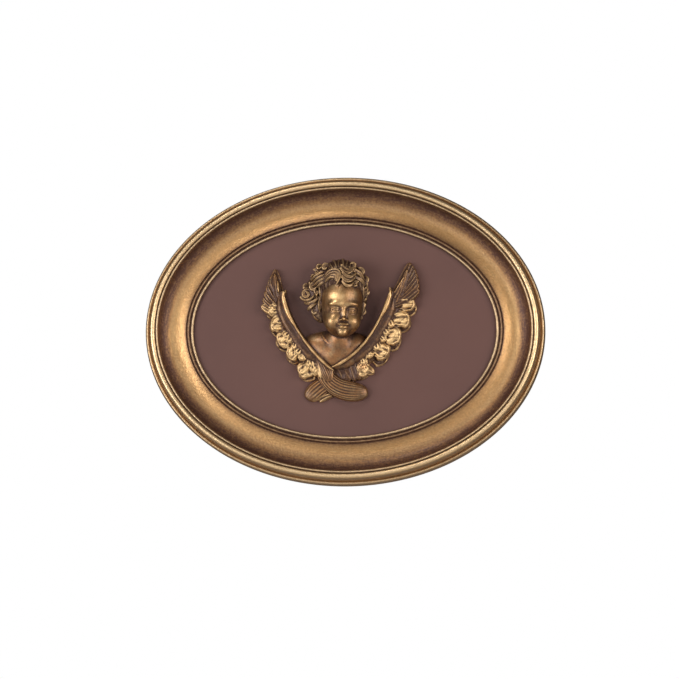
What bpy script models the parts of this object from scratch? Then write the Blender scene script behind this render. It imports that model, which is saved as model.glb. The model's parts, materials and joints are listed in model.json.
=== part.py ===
# Cherub wall plaque: an oval moulded frame, a plain oval board and a cast cherub fixed on the board.
# Metres, +Z up. The back lies on the plane Y = 0, against the wall, and the face looks along -Y.
# The origin is the middle of the back.

import math

import bmesh
import bpy
from mathutils import Matrix, Vector

# Sizes in this file are in millimetres, and MM turns them into metres where a mesh is made.
# A height is a distance from the wall, so that a point (x, height, z) lies at Y = -height.
MM = 0.001

# Driving dimensions
PLAQUE_WIDTH = 215.9
PLAQUE_HEIGHT = 167.1
FRAME_WIDTH = 26.5
RIM_HEIGHT = 16.5
BOARD_FACE = 7.5
GAP = 0.3
HALF_X = PLAQUE_WIDTH / 2
HALF_Z = PLAQUE_HEIGHT / 2
OVAL_STEPS = 64

# Board and the rebate that it sits in
REBATE_LIP = 3.4
BOARD_EDGE = FRAME_WIDTH - REBATE_LIP + GAP

# Blind recess in the frame's back, which a nail goes into
RECESS_WIDTH = 9.0
RECESS_TALL = 15.0
RECESS_DEEP = 5.2
RECESS_DOWN = 12.2

# Cherub
CAST_BACK = BOARD_FACE + GAP
SAWN_OFF = 30.0
VOXEL = 0.42
SLIVER = 0.05
FACETS_KEPT = 0.0375

# Head: its chin, the height of its upright axis, and how it is turned and tilted
CHIN = (-1.6, -4.9)
HEAD_AXIS = 16.2
HEAD_TURN = math.radians(10)
HEAD_TILT = math.radians(2)

# Forms of the head, measured up from the chin: side, forward, up, then the three radii.
# A form with a side of more than nothing has a twin on the other side.
HEAD_FORMS = {
    "skull": (0, -0.5, 22.5, 11.7, 11.4, 13.4),
    "face": (0, 0.9, 12.0, 10.7, 8.4, 12.0),
    "cheek": (5.0, 5.2, 8.4, 4.5, 4.7, 4.7),
    "chin": (0, 6.9, 2.6, 3.2, 2.9, 2.5),
    "muzzle": (0, 6.2, 6.2, 3.9, 3.7, 3.2),
    "upper lip": (0, 9.5, 6.9, 2.7, 1.1, 0.8),
    "lower lip": (0, 9.3, 5.2, 2.1, 1.1, 0.9),
    "nose bridge": (0, 8.6, 12.6, 1.3, 2.0, 4.2),
    "nose tip": (0, 10.4, 9.5, 1.8, 2.0, 1.6),
    "nostril": (1.6, 9.6, 9.0, 1.0, 1.3, 0.9),
    "brow": (4.4, 8.1, 17.8, 3.8, 2.2, 1.5),
    "eye": (4.4, 7.4, 14.6, 2.2, 1.9, 1.4),
    "hair": (0.3, -2.4, 26.0, 13.4, 12.8, 12.6),
    "hair behind the ear": (-9.0, -4.6, 18.5, 6.8, 6.0, 10.0),
}
ONE_SIDED = ("hair behind the ear",)

# Neck and chest: middle x, height, z, then the three radii
BODY_FORMS = {
    "neck": (-3.0, 12.5, -3.0, 6.6, 6.6, 7.5),
    "chest": (-4.6, 7.6, -7.2, 17.5, 9.2, 13.5),
    "left shoulder": (-15.0, 8.4, -4.6, 7.0, 6.6, 5.6),
    "right shoulder": (6.5, 8.4, -4.2, 7.0, 6.6, 5.6),
    "breast point": (-5.6, 10.0, -13.5, 5.6, 5.4, 6.6),
    "crossing": (-5.0, 8.6, -21.0, 7.5, 5.6, 5.4),
    "below the right wing": (2.6, 8.0, -21.5, 9.5, 3.6, 6.4),
}

# Curls that ring the head in rows: middle of the row, radius of the row, first and last angle, how many,
# height, radius of a curl, thickness of its lock. Every second curl winds the other way.
CURL_ROWS = (
    ((-1.0, 21.6), 13.0, 8, 152, 9, 16.4, 3.0, 1.7),
    ((-1.0, 21.6), 8.6, 14, 100, 5, 22.6, 2.9, 1.7),
    ((-4.0, 17.0), 15.6, -28, -4, 3, 13.4, 2.2, 1.4),
)
ROW_TURN = 400

# Single curls: middle x, height, z, radius, thickness, start angle, turn
CURLS = (
    (-20.0, 14.0, 18.8, 3.3, 1.7, 200, 430),
    (-16.6, 15.5, 23.6, 3.0, 1.6, 20, 330),
    (-14.0, 18.6, 26.4, 3.0, 1.7, 60, -300),
    (-17.4, 13.2, 12.8, 2.9, 1.6, 100, -330),
    (-14.4, 17.0, 19.2, 2.8, 1.5, 280, 300),
    (-13.6, 14.0, 7.6, 2.2, 1.5, 80, 300),
)

# Parting lock over the forehead, as (x, height, z) points of a curve, with its thickness
FOREHEAD_LOCKS = (
    (((-10.6, 20.6, 29.4), (-6.0, 24.6, 32.6), (-0.6, 26.0, 29.6), (-3.4, 27.4, 24.6)), 1.7),
    (((-11.6, 20.6, 26.6), (-7.6, 25.6, 29.0), (-4.4, 26.6, 29.0), (-5.2, 27.2, 26.6)), 1.4),
)

# Wings. The leading edge is a cubic curve of four points, from the wrist down to the crossing.
# The tip fan has its roots and its tips each on a curve of three points, from the inner feather out.
# Lobes: place along the leading edge, angle, reach of the tip from the edge, width.
# Coverts: first and last place along the edge, how many, distance from the edge, radius.
LEFT_WING = {
    "edge": ((-33.0, 21.0), (-31.0, 8.0), (-24.0, -6.0), (-6.4, -21.7)),
    "roots": ((-33.6, 15.0), (-33.4, 9.0), (-32.0, 3.0)),
    "tips": ((-37.9, 33.3), (-44.0, 25.0), (-44.8, 11.6)),
    "fan": 6,
    "lobes": ((0.42, 184, 14.0, 9.4), (0.57, 201, 14.6, 9.6), (0.70, 208, 14.4, 8.2), (0.84, 221, 15.6, 9.4)),
    "coverts": (0.44, 0.88, 7, 6.4, 2.6),
    "outward": -1,
    "lift": 0.6,
}
RIGHT_WING = {
    "edge": ((25.2, 21.0), (20.5, 9.0), (16.0, -9.0), (-5.2, -20.0)),
    "roots": ((26.6, 17.5), (26.8, 12.0), (25.0, 6.5)),
    "tips": ((35.7, 36.2), (42.4, 30.6), (39.6, 18.6)),
    "fan": 6,
    "lobes": ((0.22, 14, 17.2, 7.4), (0.36, -2, 17.4, 9.8), (0.52, -14, 16.8, 10.2),
              (0.68, -24, 16.0, 10.0), (0.83, -49, 14.8, 8.0)),
    "coverts": (0.34, 0.86, 7, 6.2, 2.6),
    "outward": 1,
    "lift": 0.0,
}
RIDGE_HEIGHT = 14.2
RIDGE_RADIUS = 1.3
BAND_HEIGHT = 12.0
BAND_RADIUS = 3.0
LOBE_HEIGHT = 10.0
LOBE_THICK = 2.7
UNDER_COVERTS = 3.4
FAN_HEIGHT = 10.2
FAN_THICK = 2.6
CURVE_POINTS = 18

# Long feathers below the crossing: roots and tips on curves of three points, how many, height, sag
LOW_FANS = (
    (((-4.0, -31.0), (-5.0, -33.0), (-5.0, -35.0)), ((-18.0, -29.0), (-22.6, -33.6), (-13.0, -37.9)), 4, 9.0, 0.6),
    (((-2.0, -21.5), (-9.0, -22.5), (-15.0, -25.4)), ((12.0, -29.6), (15.6, -34.0), (1.5, -38.6)), 6, 10.6, -2.6),
)
LOW_FAN_WIDTH = 4.8

# Small feathers where the wings cross: root, tip, height, width
CROSSING_FEATHERS = (
    ((-13.0, -16.5), (-7.4, -28.6), 12.0, 7.6),
    ((-17.0, -18.0), (-14.6, -27.4), 11.2, 4.6),
    ((-1.5, -19.0), (3.6, -27.6), 9.6, 4.4),
    ((4.5, -15.5), (8.4, -27.2), 9.6, 4.8),
    ((7.4, -14.5), (11.4, -22.6), 11.2, 6.0),
)


def point(x, height, z):
    return Vector((x, -height, z)) * MM


def on_curve(controls, t):
    # Bernstein sum over the control points, for any number of them.
    degree = len(controls) - 1
    x = 0.0
    z = 0.0
    for k, (px, pz) in enumerate(controls):
        weight = math.comb(degree, k) * t ** k * (1 - t) ** (degree - k)
        x += weight * px
        z += weight * pz
    return x, z


def beside_edge(wing, t, distance):
    # A point beside the leading edge, square to it and on the wing's outward side.
    x, z = on_curve(wing["edge"], t)
    ahead_x, ahead_z = on_curve(wing["edge"], min(t + 0.01, 1.0))
    behind_x, behind_z = on_curve(wing["edge"], max(t - 0.01, 0.0))
    along = Vector((ahead_x - behind_x, ahead_z - behind_z)).normalized()
    side = wing["outward"]
    return x - side * along.y * distance, z + side * along.x * distance


def make_material(name, colour, roughness, metallic):
    material = bpy.data.materials.new(name)
    material.use_nodes = True
    shader = material.node_tree.nodes["Principled BSDF"]
    shader.inputs["Base Color"].default_value = (*colour, 1.0)
    shader.inputs["Roughness"].default_value = roughness
    shader.inputs["Metallic"].default_value = metallic
    return material


def add_object(name, data, collection, material=None):
    made = bpy.data.objects.new(name, data)
    collection.objects.link(made)
    if material:
        data.materials.append(material)
    return made


def solid_mesh(source, merge=0.00001):
    # The evaluated object as a mesh in world space, welded; the source object is removed.
    bpy.context.view_layer.update()
    graph = bpy.context.evaluated_depsgraph_get()
    mesh = bpy.data.meshes.new_from_object(source.evaluated_get(graph))
    mesh.transform(source.matrix_world)
    work = bmesh.new()
    work.from_mesh(mesh)
    bmesh.ops.remove_doubles(work, verts=work.verts, dist=merge)
    work.to_mesh(mesh)
    work.free()
    bpy.data.objects.remove(source)
    return mesh


def bead(along, height, radius, start, end, steps):
    # Points on a round bead of the moulding, at angles from its outer side round to its inner side.
    points = []
    for k in range(steps + 1):
        angle = math.radians(start + (end - start) * k / steps)
        points.append((along - radius * math.cos(angle), height + radius * math.sin(angle)))
    return points


def moulding_profile():
    # Across the frame as (distance in from the outer edge, height), from the outer edge to the sight edge.
    profile = [(0.0, 4.4), (0.9, 7.4), (1.9, 7.7), (3.3, 13.6)]
    profile += bead(4.8, RIM_HEIGHT - 1.5, 1.5, 25, 155, 4)
    profile += [(6.9, RIM_HEIGHT - 0.6), (7.7, RIM_HEIGHT - 1.4)]
    cove_from = Vector((7.9, RIM_HEIGHT - 2.4))
    cove_deep = 8.0
    cove_across = 8.2
    for k in range(1, 5):
        angle = math.radians(90 * k / 4)
        profile.append((
            cove_from.x + cove_across * (1 - math.cos(angle)),
            cove_from.y - (cove_from.y - cove_deep) * math.sin(angle),
        ))
    profile += [(19.6, 8.4), (22.2, 9.6), (22.8, 9.1), (23.7, 9.5), (24.6, 8.7)]
    profile += bead(25.7, 8.7, 0.8, 30, 150, 2)
    return profile


def make_frame(collection, cutters, material):
    front = moulding_profile()
    rebate = FRAME_WIDTH - REBATE_LIP
    lip_under = BOARD_FACE + GAP
    back = [(FRAME_WIDTH, lip_under), (rebate, lip_under), (rebate, 0.0), (0.0, 0.0)]
    outline = front + back
    outline.reverse()

    # A turned ring, whose rows all run round at their own radius
    ring_radius = HALF_X
    corners = [(
        (ring_radius - along) * MM,
        0.0,
        height * MM,
    ) for along, height in outline]
    edges = [(k, (k + 1) % len(corners)) for k in range(len(corners))]
    mesh = bpy.data.meshes.new("moulding outline")
    mesh.from_pydata(corners, edges, [])
    ring = add_object("moulding outline", mesh, collection)
    turn = ring.modifiers.new("turn", "SCREW")
    turn.axis = "Z"
    turn.steps = OVAL_STEPS
    turn.render_steps = OVAL_STEPS
    turn.use_merge_vertices = True
    turn.merge_threshold = 0.00001
    mesh = solid_mesh(ring)

    # Each row is drawn in along Z by the same amount, which makes an oval of even width
    for vertex in mesh.vertices:
        radius = math.hypot(vertex.co.x, vertex.co.y)
        vertex.co.y += (HALF_Z - HALF_X) * MM * vertex.co.y / radius
    mesh.transform(Matrix.Rotation(math.radians(90), 4, "X"))
    mesh.name = "frame"
    frame = add_object("frame", mesh, collection, material)

    # Round-ended recess, open only at the back
    half = RECESS_WIDTH / 2
    straight = RECESS_TALL / 2 - half
    slot = bpy.data.curves.new("hanging recess", "CURVE")
    slot.dimensions = "2D"
    slot.fill_mode = "BOTH"
    slot.extrude = RECESS_DEEP * MM
    outline = []
    for end, first in ((straight, 0), (-straight, 180)):
        for k in range(9):
            angle = math.radians(first + 180 * k / 8)
            outline.append((half * math.cos(angle), end + half * math.sin(angle)))
    spline = slot.splines.new("POLY")
    spline.points.add(len(outline) - 1)
    for place, (x, y) in zip(spline.points, outline):
        place.co = (x * MM, y * MM, 0.0, 1.0)
    spline.use_cyclic_u = True
    cutter = add_object("hanging recess outline", slot, cutters)
    cutter.rotation_euler = (math.radians(90), 0, 0)
    cutter.location = point(0, 0, HALF_Z - RECESS_DOWN)
    cutter = add_object("hanging_recess", solid_mesh(cutter), cutters)
    cutter.hide_render = True
    cutter.display_type = "WIRE"
    cut = frame.modifiers.new("hanging recess", "BOOLEAN")
    cut.operation = "DIFFERENCE"
    cut.object = cutter
    frame.data.shade_smooth()
    frame.data.set_sharp_from_angle(angle=math.radians(35))
    return frame


def make_panel(collection, material):
    work = bmesh.new()
    bmesh.ops.create_cone(
        work, cap_ends=True, segments=OVAL_STEPS, radius1=1.0, radius2=1.0, depth=BOARD_FACE * MM
    )
    bmesh.ops.scale(work, vec=((HALF_X - BOARD_EDGE) * MM, (HALF_Z - BOARD_EDGE) * MM, 1.0), verts=work.verts)
    bmesh.ops.rotate(work, cent=(0, 0, 0), matrix=Matrix.Rotation(math.radians(90), 3, "X"), verts=work.verts)
    bmesh.ops.translate(work, vec=point(0, BOARD_FACE / 2, 0), verts=work.verts)
    mesh = bpy.data.meshes.new("panel")
    work.to_mesh(mesh)
    work.free()
    return add_object("panel", mesh, collection, material)


def add_ellipsoid(work, matrix):
    bmesh.ops.create_uvsphere(work, u_segments=24, v_segments=16, radius=1.0, matrix=matrix)


def ball(work, centre, radii):
    x, height, z = centre
    across, deep, tall = radii
    matrix = Matrix.Translation(point(x, height, z)) @ Matrix.Diagonal((across * MM, deep * MM, tall * MM, 1.0))
    add_ellipsoid(work, matrix)


def feather(work, root, tip, height, width, thick, sag=0.0):
    # A flattened long ball from root to tip, bent sideways by sag at its middle.
    length = math.dist(root, tip)
    angle = math.atan2(tip[1] - root[1], tip[0] - root[0])
    made = bmesh.ops.create_uvsphere(work, u_segments=16, v_segments=12, radius=1.0)
    place = Matrix.Rotation(-angle, 3, "Y")
    middle = point((root[0] + tip[0]) / 2, height, (root[1] + tip[1]) / 2)
    for vertex in made["verts"]:
        along = vertex.co.z
        bent = sag * (1 - along * along)
        local = Vector((along * length / 2, vertex.co.y * thick, vertex.co.x * width / 2 + bent)) * MM
        vertex.co = middle + place @ local


def add_curve_solid(work, paths):
    # Each path is a list of (x, height, z, radius), made a closed tube of that radius.
    curve = bpy.data.curves.new("locks", "CURVE")
    curve.dimensions = "3D"
    curve.bevel_depth = MM
    curve.bevel_resolution = 2
    curve.use_fill_caps = True
    for path in paths:
        spline = curve.splines.new("POLY")
        spline.points.add(len(path) - 1)
        for place, (x, height, z, radius) in zip(spline.points, path):
            place.co = (*point(x, height, z), 1.0)
            place.radius = radius
    holder = add_object("locks", curve, bpy.context.scene.collection)
    work.from_mesh(solid_mesh(holder))


def add_head(work):
    # Built upright about its own axis, then turned, tilted about the chin and put in place.
    head = bmesh.new()
    for name, (side, forward, up, across, deep, tall) in HEAD_FORMS.items():
        sides = (side,)
        if side > 0 and name not in ONE_SIDED:
            sides = (side, -side)
        for x in sides:
            ball(head, (x, forward, up), (across, deep, tall))
    turn = Matrix.Rotation(HEAD_TURN, 4, "Z")
    tilt = Matrix.Rotation(HEAD_TILT, 4, "Y")
    place = Matrix.Translation(point(CHIN[0], HEAD_AXIS, CHIN[1]))
    bmesh.ops.transform(head, matrix=place @ tilt @ turn, verts=head.verts)
    mesh = bpy.data.meshes.new("head")
    head.to_mesh(mesh)
    head.free()
    work.from_mesh(mesh)
    bpy.data.meshes.remove(mesh)


def curl_path(x, height, z, radius, thick, start, turn):
    # A lock that winds inwards to a third of its radius and rises towards its middle.
    steps = max(8, int(abs(turn) / 24))
    path = []
    for k in range(steps + 1):
        share = k / steps
        angle = math.radians(start + turn * share)
        reach = radius * (1 - 0.66 * share)
        path.append((
            x + reach * math.cos(angle),
            height + 1.2 * share,
            z + reach * math.sin(angle),
            thick * (1 - 0.25 * share),
        ))
    return path


def row_paths(middle, row_radius, first, last, count, height, radius, thick):
    paths = []
    for k in range(count):
        angle = first + (last - first) * k / (count - 1)
        x = middle[0] + row_radius * math.cos(math.radians(angle))
        z = middle[1] + row_radius * math.sin(math.radians(angle))
        way = 1 if k % 2 else -1
        paths.append(curl_path(x, height, z, radius, thick, angle + 90 * way, ROW_TURN * way))
    return paths


def lock_path(controls, thick):
    # A lock along a cubic curve, thinner towards both its ends.
    path = []
    for k in range(CURVE_POINTS):
        t = k / (CURVE_POINTS - 1)
        x, z = on_curve([(cx, cz) for cx, _, cz in controls], t)
        height, _ = on_curve([(ch, 0.0) for _, ch, _ in controls], t)
        path.append((x, height, z, thick * (0.6 + 0.4 * math.sin(math.pi * t))))
    return path


def add_hair(work):
    paths = [curl_path(*curl) for curl in CURLS]
    for row in CURL_ROWS:
        paths += row_paths(*row)
    for controls, thick in FOREHEAD_LOCKS:
        paths.append(lock_path(controls, thick))
    add_curve_solid(work, paths)


def add_wing(work, wing):
    lift = wing["lift"]
    ridge = []
    band = []
    under = []
    for k in range(CURVE_POINTS):
        t = k / (CURVE_POINTS - 1)
        # Full in the middle of the wing and drawn in at its two ends
        fullness = min(1.0, 0.45 + 2.6 * t, 0.5 + 3.0 * (1 - t))
        x, z = on_curve(wing["edge"], t)
        ridge.append((x, RIDGE_HEIGHT + lift, z, RIDGE_RADIUS * fullness))
        x, z = beside_edge(wing, t, BAND_RADIUS * fullness - 0.3)
        band.append((x, BAND_HEIGHT + lift, z, BAND_RADIUS * fullness))
        x, z = beside_edge(wing, t, 2 * UNDER_COVERTS * fullness)
        under.append((x, BOARD_FACE + 1.6 + lift, z, UNDER_COVERTS * fullness))
    add_curve_solid(work, (ridge, band, under))
    for k in range(wing["fan"]):
        share = k / (wing["fan"] - 1)
        root = on_curve(wing["roots"], share)
        tip = on_curve(wing["tips"], share)
        feather(work, root, tip, FAN_HEIGHT + 0.25 * k, 5.4, FAN_THICK, wing["outward"] * 0.8)
    for t, angle, reach, width in wing["lobes"]:
        x, z = on_curve(wing["edge"], t)
        turn = math.radians(angle)
        tip = (x + reach * math.cos(turn), z + reach * math.sin(turn))
        root = (x + 2.0 * math.cos(turn), z + 2.0 * math.sin(turn))
        feather(work, root, tip, LOBE_HEIGHT + lift, width * 0.85, LOBE_THICK)
        # The rounded end is broader than the stem
        broad = width / 2
        end = (x + (reach - broad) * math.cos(turn), z + (reach - broad) * math.sin(turn))
        ball(work, (end[0], LOBE_HEIGHT + lift - 0.4, end[1]), (broad, LOBE_THICK, broad))
    first, last, count, distance, radius = wing["coverts"]
    for k in range(count):
        t = first + (last - first) * k / (count - 1)
        x, z = beside_edge(wing, t, distance)
        ball(work, (x, LOBE_HEIGHT + lift + 1.7, z), (radius, 1.9, radius))


def add_low_fans(work):
    for roots, tips, count, height, sag in LOW_FANS:
        for k in range(count):
            share = k / (count - 1)
            root = on_curve(roots, share)
            tip = on_curve(tips, share)
            feather(work, root, tip, height, LOW_FAN_WIDTH, 3.0 - 0.15 * k, sag)
    for root, tip, height, width in CROSSING_FEATHERS:
        feather(work, root, tip, height, width, 2.2)


def make_cherub(collection, cutters, material):
    clay = bmesh.new()
    add_head(clay)
    for centre_and_radii in BODY_FORMS.values():
        ball(clay, centre_and_radii[:3], centre_and_radii[3:])
    add_hair(clay)
    add_low_fans(clay)
    add_wing(clay, RIGHT_WING)
    add_wing(clay, LEFT_WING)
    mesh = bpy.data.meshes.new("cherub forms")
    clay.to_mesh(mesh)
    clay.free()

    # The forms become one skin, as in a casting, sawn flat behind, where it is fixed to the board
    cast = add_object("cherub", mesh, collection, material)
    skin = cast.modifiers.new("one skin", "REMESH")
    skin.mode = "VOXEL"
    skin.voxel_size = VOXEL * MM
    work = bmesh.new()
    bmesh.ops.create_cube(work, size=1.0)
    bmesh.ops.scale(work, vec=Vector((PLAQUE_WIDTH, SAWN_OFF, PLAQUE_HEIGHT)) * MM, verts=work.verts)
    bmesh.ops.translate(work, vec=point(0, CAST_BACK - SAWN_OFF / 2, 0), verts=work.verts)
    mesh = bpy.data.meshes.new("board_side")
    work.to_mesh(mesh)
    work.free()
    cutter = add_object("board_side", mesh, cutters)
    cutter.hide_render = True
    cutter.display_type = "WIRE"
    cut = cast.modifiers.new("flat back", "BOOLEAN")
    cut.operation = "DIFFERENCE"
    cut.object = cutter
    slivers = cast.modifiers.new("no slivers", "WELD")
    slivers.merge_threshold = SLIVER * MM
    facets = cast.modifiers.new("facets", "DECIMATE")
    facets.ratio = FACETS_KEPT
    cast.data.shade_smooth()
    return cast


def main():
    for old in list(bpy.data.objects):
        bpy.data.objects.remove(old)
    scene = bpy.context.scene
    plaque = bpy.data.collections.new("cherub_wall_plaque")
    cutters = bpy.data.collections.new("cutters")
    scene.collection.children.link(plaque)
    scene.collection.children.link(cutters)
    frame_finish = make_material("aged gold frame", (0.48, 0.33, 0.15), 0.38, 0.8)
    board_finish = make_material("mauve brown board", (0.16, 0.085, 0.07), 0.6, 0.0)
    cast_finish = make_material("antique bronze", (0.36, 0.22, 0.10), 0.35, 0.85)
    make_frame(plaque, cutters, frame_finish)
    make_panel(plaque, board_finish)
    make_cherub(plaque, cutters, cast_finish)


main()
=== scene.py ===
# Looks of an oval wall plaque: a moulded gold frame, a painted board and a cast winged cherub.
# Shapes are worked out in millimetres as (x, height from the wall, z); toMesh turns them into metres.
import json
import math

import bmesh
import bpy
import numpy as np
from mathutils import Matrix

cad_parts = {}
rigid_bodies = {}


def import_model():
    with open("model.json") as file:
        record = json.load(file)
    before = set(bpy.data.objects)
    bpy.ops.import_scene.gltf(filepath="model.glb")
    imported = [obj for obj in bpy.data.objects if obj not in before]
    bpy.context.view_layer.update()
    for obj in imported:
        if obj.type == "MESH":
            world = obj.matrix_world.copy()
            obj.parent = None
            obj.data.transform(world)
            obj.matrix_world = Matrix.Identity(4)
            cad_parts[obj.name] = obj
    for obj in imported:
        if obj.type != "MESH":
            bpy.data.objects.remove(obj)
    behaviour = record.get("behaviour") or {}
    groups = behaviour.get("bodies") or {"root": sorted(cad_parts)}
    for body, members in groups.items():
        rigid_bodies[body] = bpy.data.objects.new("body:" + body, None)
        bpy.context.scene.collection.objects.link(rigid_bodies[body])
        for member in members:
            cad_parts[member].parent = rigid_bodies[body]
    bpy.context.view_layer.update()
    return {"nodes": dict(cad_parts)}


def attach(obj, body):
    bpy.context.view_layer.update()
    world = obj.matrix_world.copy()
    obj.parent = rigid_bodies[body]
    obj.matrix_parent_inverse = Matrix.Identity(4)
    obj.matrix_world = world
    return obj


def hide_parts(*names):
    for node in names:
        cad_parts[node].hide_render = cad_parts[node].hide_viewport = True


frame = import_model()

mm = 0.001
# the face of the plaque looks along -Y, so height is -y
facing = np.array([1.0, -1.0, 1.0])


# helpers for curves, grids and meshes

def ramp(x, low, high):
    # smooth step from 0 at low to 1 at high
    t = np.clip((x - low) / (high - low), 0.0, 1.0)
    return t * t * (3 - 2 * t)


def bump(x, middle, half):
    # bell curve round a middle
    return np.exp(-((x - middle) / half) ** 2)


def arc(middle, radius, first, last, count):
    # points on a round bead, angles in degrees from the outer side (180) over the top (90)
    angle = np.radians(np.linspace(first, last, count))
    return np.stack([middle[0] + radius * np.cos(angle), middle[1] + radius * np.sin(angle)], 1)


def quadsOf(rows, columns, closedRows=False):
    # four-sided faces of a grid whose columns run round; rows close too if asked
    index = np.arange(rows * columns).reshape(rows, columns)
    if closedRows:
        index = np.concatenate([index, index[:1]])
    beside = np.roll(index, -1, 1)
    return np.stack([index[:-1], beside[:-1], beside[1:], index[1:]], 2).reshape(-1, 4)


def circle(count):
    # angles once round
    return np.linspace(0, 2 * math.pi, count, endpoint=False)


def crossing(shape, low, high, rounds, insideAt):
    # by halving: the value between low and high where insideAt turns from true to false
    low, high = np.full(shape, low), np.full(shape, high)
    for _ in range(rounds):
        middle = (low + high) / 2
        inside = insideAt(middle)
        low = np.where(inside, middle, low)
        high = np.where(inside, high, middle)
    return low


def addObject(name, data):
    made = bpy.data.objects.new(name, data)
    bpy.context.scene.collection.objects.link(made)
    return made


def toMesh(name, points, faces):
    mesh = bpy.data.meshes.new(name)
    places = np.asarray(points, float).reshape(-1, 3) * facing * mm
    mesh.from_pydata(places.tolist(), [], [list(f) for f in faces])
    return addObject(name, mesh)


def faceOutwards(piece):
    work = bmesh.new()
    work.from_mesh(piece.data)
    bmesh.ops.recalc_face_normals(work, faces=work.faces)
    work.to_mesh(piece.data)
    work.free()


def readAll(items, name, wide, kind=float):
    # one property of all vertices, edges or values, as rows of so many numbers
    values = np.empty(len(items) * wide, kind)
    items.foreach_get(name, values)
    return values.reshape(-1, wide)


def placesOf(mesh):
    # every vertex as (x, height, z) in millimetres
    return readAll(mesh.vertices, "co", 3) / mm * facing


def writeAttribute(mesh, name, values):
    layer = mesh.attributes.new(name, "FLOAT", "POINT")
    layer.data.foreach_set("value", np.asarray(values, np.float32))


def applyModifiers(piece):
    # the mesh as the modifiers leave it takes the old one's place
    graph = bpy.context.evaluated_depsgraph_get()
    mesh = bpy.data.meshes.new_from_object(piece.evaluated_get(graph))
    piece.modifiers.clear()
    old = piece.data
    piece.data = mesh
    mesh.name = piece.name
    bpy.data.meshes.remove(old)


# frame: a moulding profile carried round an oval

mouldingShape = {
    "halfWide": 107.95,
    "halfTall": 83.55,
    "across": 26.5,
    "rim": 16.5,
    "coveFloor": 8.0,
    "lip": 3.4,
    "lipUnder": 7.8,
    "stepsRound": 720,
    "stepsRoundQuick": 240,
    # a casting is never quite even: height of its waves, then (number round, slant, start, share)
    "castWaver": 0.045,
    "waves": ((7, 0.6, 0.0, 1.0), (19, -0.9, 1.0, 1.0), (43, 1.7, 2.0, 0.7)),
    "recessWide": 9.0,
    "recessTall": 15.0,
    "recessDeep": 5.2,
    "recessDown": 12.2,
    "sharpOver": 50,
}


def mouldingProfile(shape):
    # (inset from the outer edge, height) from the wall up over the rim and down to the sight edge, then
    # back round the rebate; the cove is a quarter of an ellipse and the rise a parabola
    rim = shape["rim"]
    floor = shape["coveFloor"]
    side = np.array([[0.0, 0.0], [0.0, 1.5], [0.0, 3.0], [0.0, 4.2], [0.25, 5.4], [0.5, 6.3]])
    outerBead = arc((1.35, 7.15), 0.85, 170, 25, 9)
    t = np.linspace(0, 1, 6)[1:-1]
    slope = np.stack([2.15 + 1.1 * t ** 0.7, 7.6 + 6.4 * t ** 1.3], 1)
    broadBead = arc((4.75, rim - 1.45), 1.45, 190, 12, 15)
    groove = np.array([[6.28, rim - 1.75], [6.42, rim - 1.6]])
    slimBead = arc((7.0, rim - 1.15), 0.62, 165, 0, 9)
    angle = np.radians(np.linspace(4, 90, 22))
    cove = np.stack([7.72 + 8.6 * (1 - np.cos(angle)), rim - 1.9 - (rim - 1.9 - floor) * np.sin(angle)], 1)
    t = np.linspace(0, 1, 11)[1:]
    rise = np.stack([16.32 + 5.9 * t, floor + 1.55 * t * t], 1)
    cut = np.array([[22.42, 9.1], [22.62, 8.85], [22.82, 8.95]])
    thinBead = arc((23.5, 8.85), 0.62, 165, 15, 9)
    cutTwo = np.array([[24.35, 8.65], [24.6, 8.5], [24.78, 8.6]])
    innerBead = arc((25.62, 8.62), 0.86, 170, 0, 12)
    sight = np.array([[shape["across"], 8.3], [shape["across"], shape["lipUnder"]]])
    parts = [side, outerBead, slope, broadBead, groove, slimBead, cove, rise,
             cut, thinBead, cutTwo, innerBead, sight]
    rebate = shape["across"] - shape["lip"]
    back = [(rebate + 1.7, shape["lipUnder"]), (rebate, shape["lipUnder"]), (rebate, 4.0),
            (rebate, 0.0), (15.0, 0.0), (7.0, 0.0)]
    return np.concatenate(parts + [np.array(back)])


def makeMoulding(shape):
    # the point at (turn, s) of the profile is ((halfWide - inset(s)) * cos(turn), height(s) + waves,
    # (halfTall - inset(s)) * sin(turn)); the waves are left out near the wall and under the lip
    profile = mouldingProfile(shape)
    steps = shape["stepsRound"]
    turn = circle(steps)[:, None]
    inset = profile[None, :, 0]
    height = np.repeat(profile[None, :, 1], steps, 0)
    front = ramp(height, 3.0, 7.0) * ramp(inset, 0.0, 3.0) * (1 - ramp(inset, 24.5, 26.0))
    waver = sum(share * np.sin(count * turn + slant * inset + start)
                for count, slant, start, share in shape["waves"])
    grid = np.stack([
        (shape["halfWide"] - inset) * np.cos(turn),
        height + shape["castWaver"] * front * waver / 2,
        (shape["halfTall"] - inset) * np.sin(turn),
    ], 2)
    moulding = toMesh("oval_moulding", grid, quadsOf(steps, len(profile), closedRows=True))
    faceOutwards(moulding)
    cutter = recessCutter(shape)
    cut = moulding.modifiers.new("hanging recess", "BOOLEAN")
    cut.operation = "DIFFERENCE"
    cut.object = cutter
    applyModifiers(moulding)
    bpy.data.objects.remove(cutter)
    return moulding


def recessCutter(shape):
    # a slot with round ends, open at the back
    half = shape["recessWide"] / 2
    straight = shape["recessTall"] / 2 - half
    angle = np.linspace(0, math.pi, 17)
    x = half * np.concatenate([np.cos(angle), -np.cos(angle)])
    z = np.concatenate([straight + half * np.sin(angle), -straight - half * np.sin(angle)])
    z = z + shape["halfTall"] - shape["recessDown"]
    rows = [np.stack([x, np.full_like(x, h), z], 1) for h in (-2.0, shape["recessDeep"])]
    count = len(x)
    faces = quadsOf(2, count).tolist() + [list(range(count)), list(range(count, 2 * count))]
    cutter = toMesh("slot", np.stack(rows), faces)
    faceOutwards(cutter)
    return cutter


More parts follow.
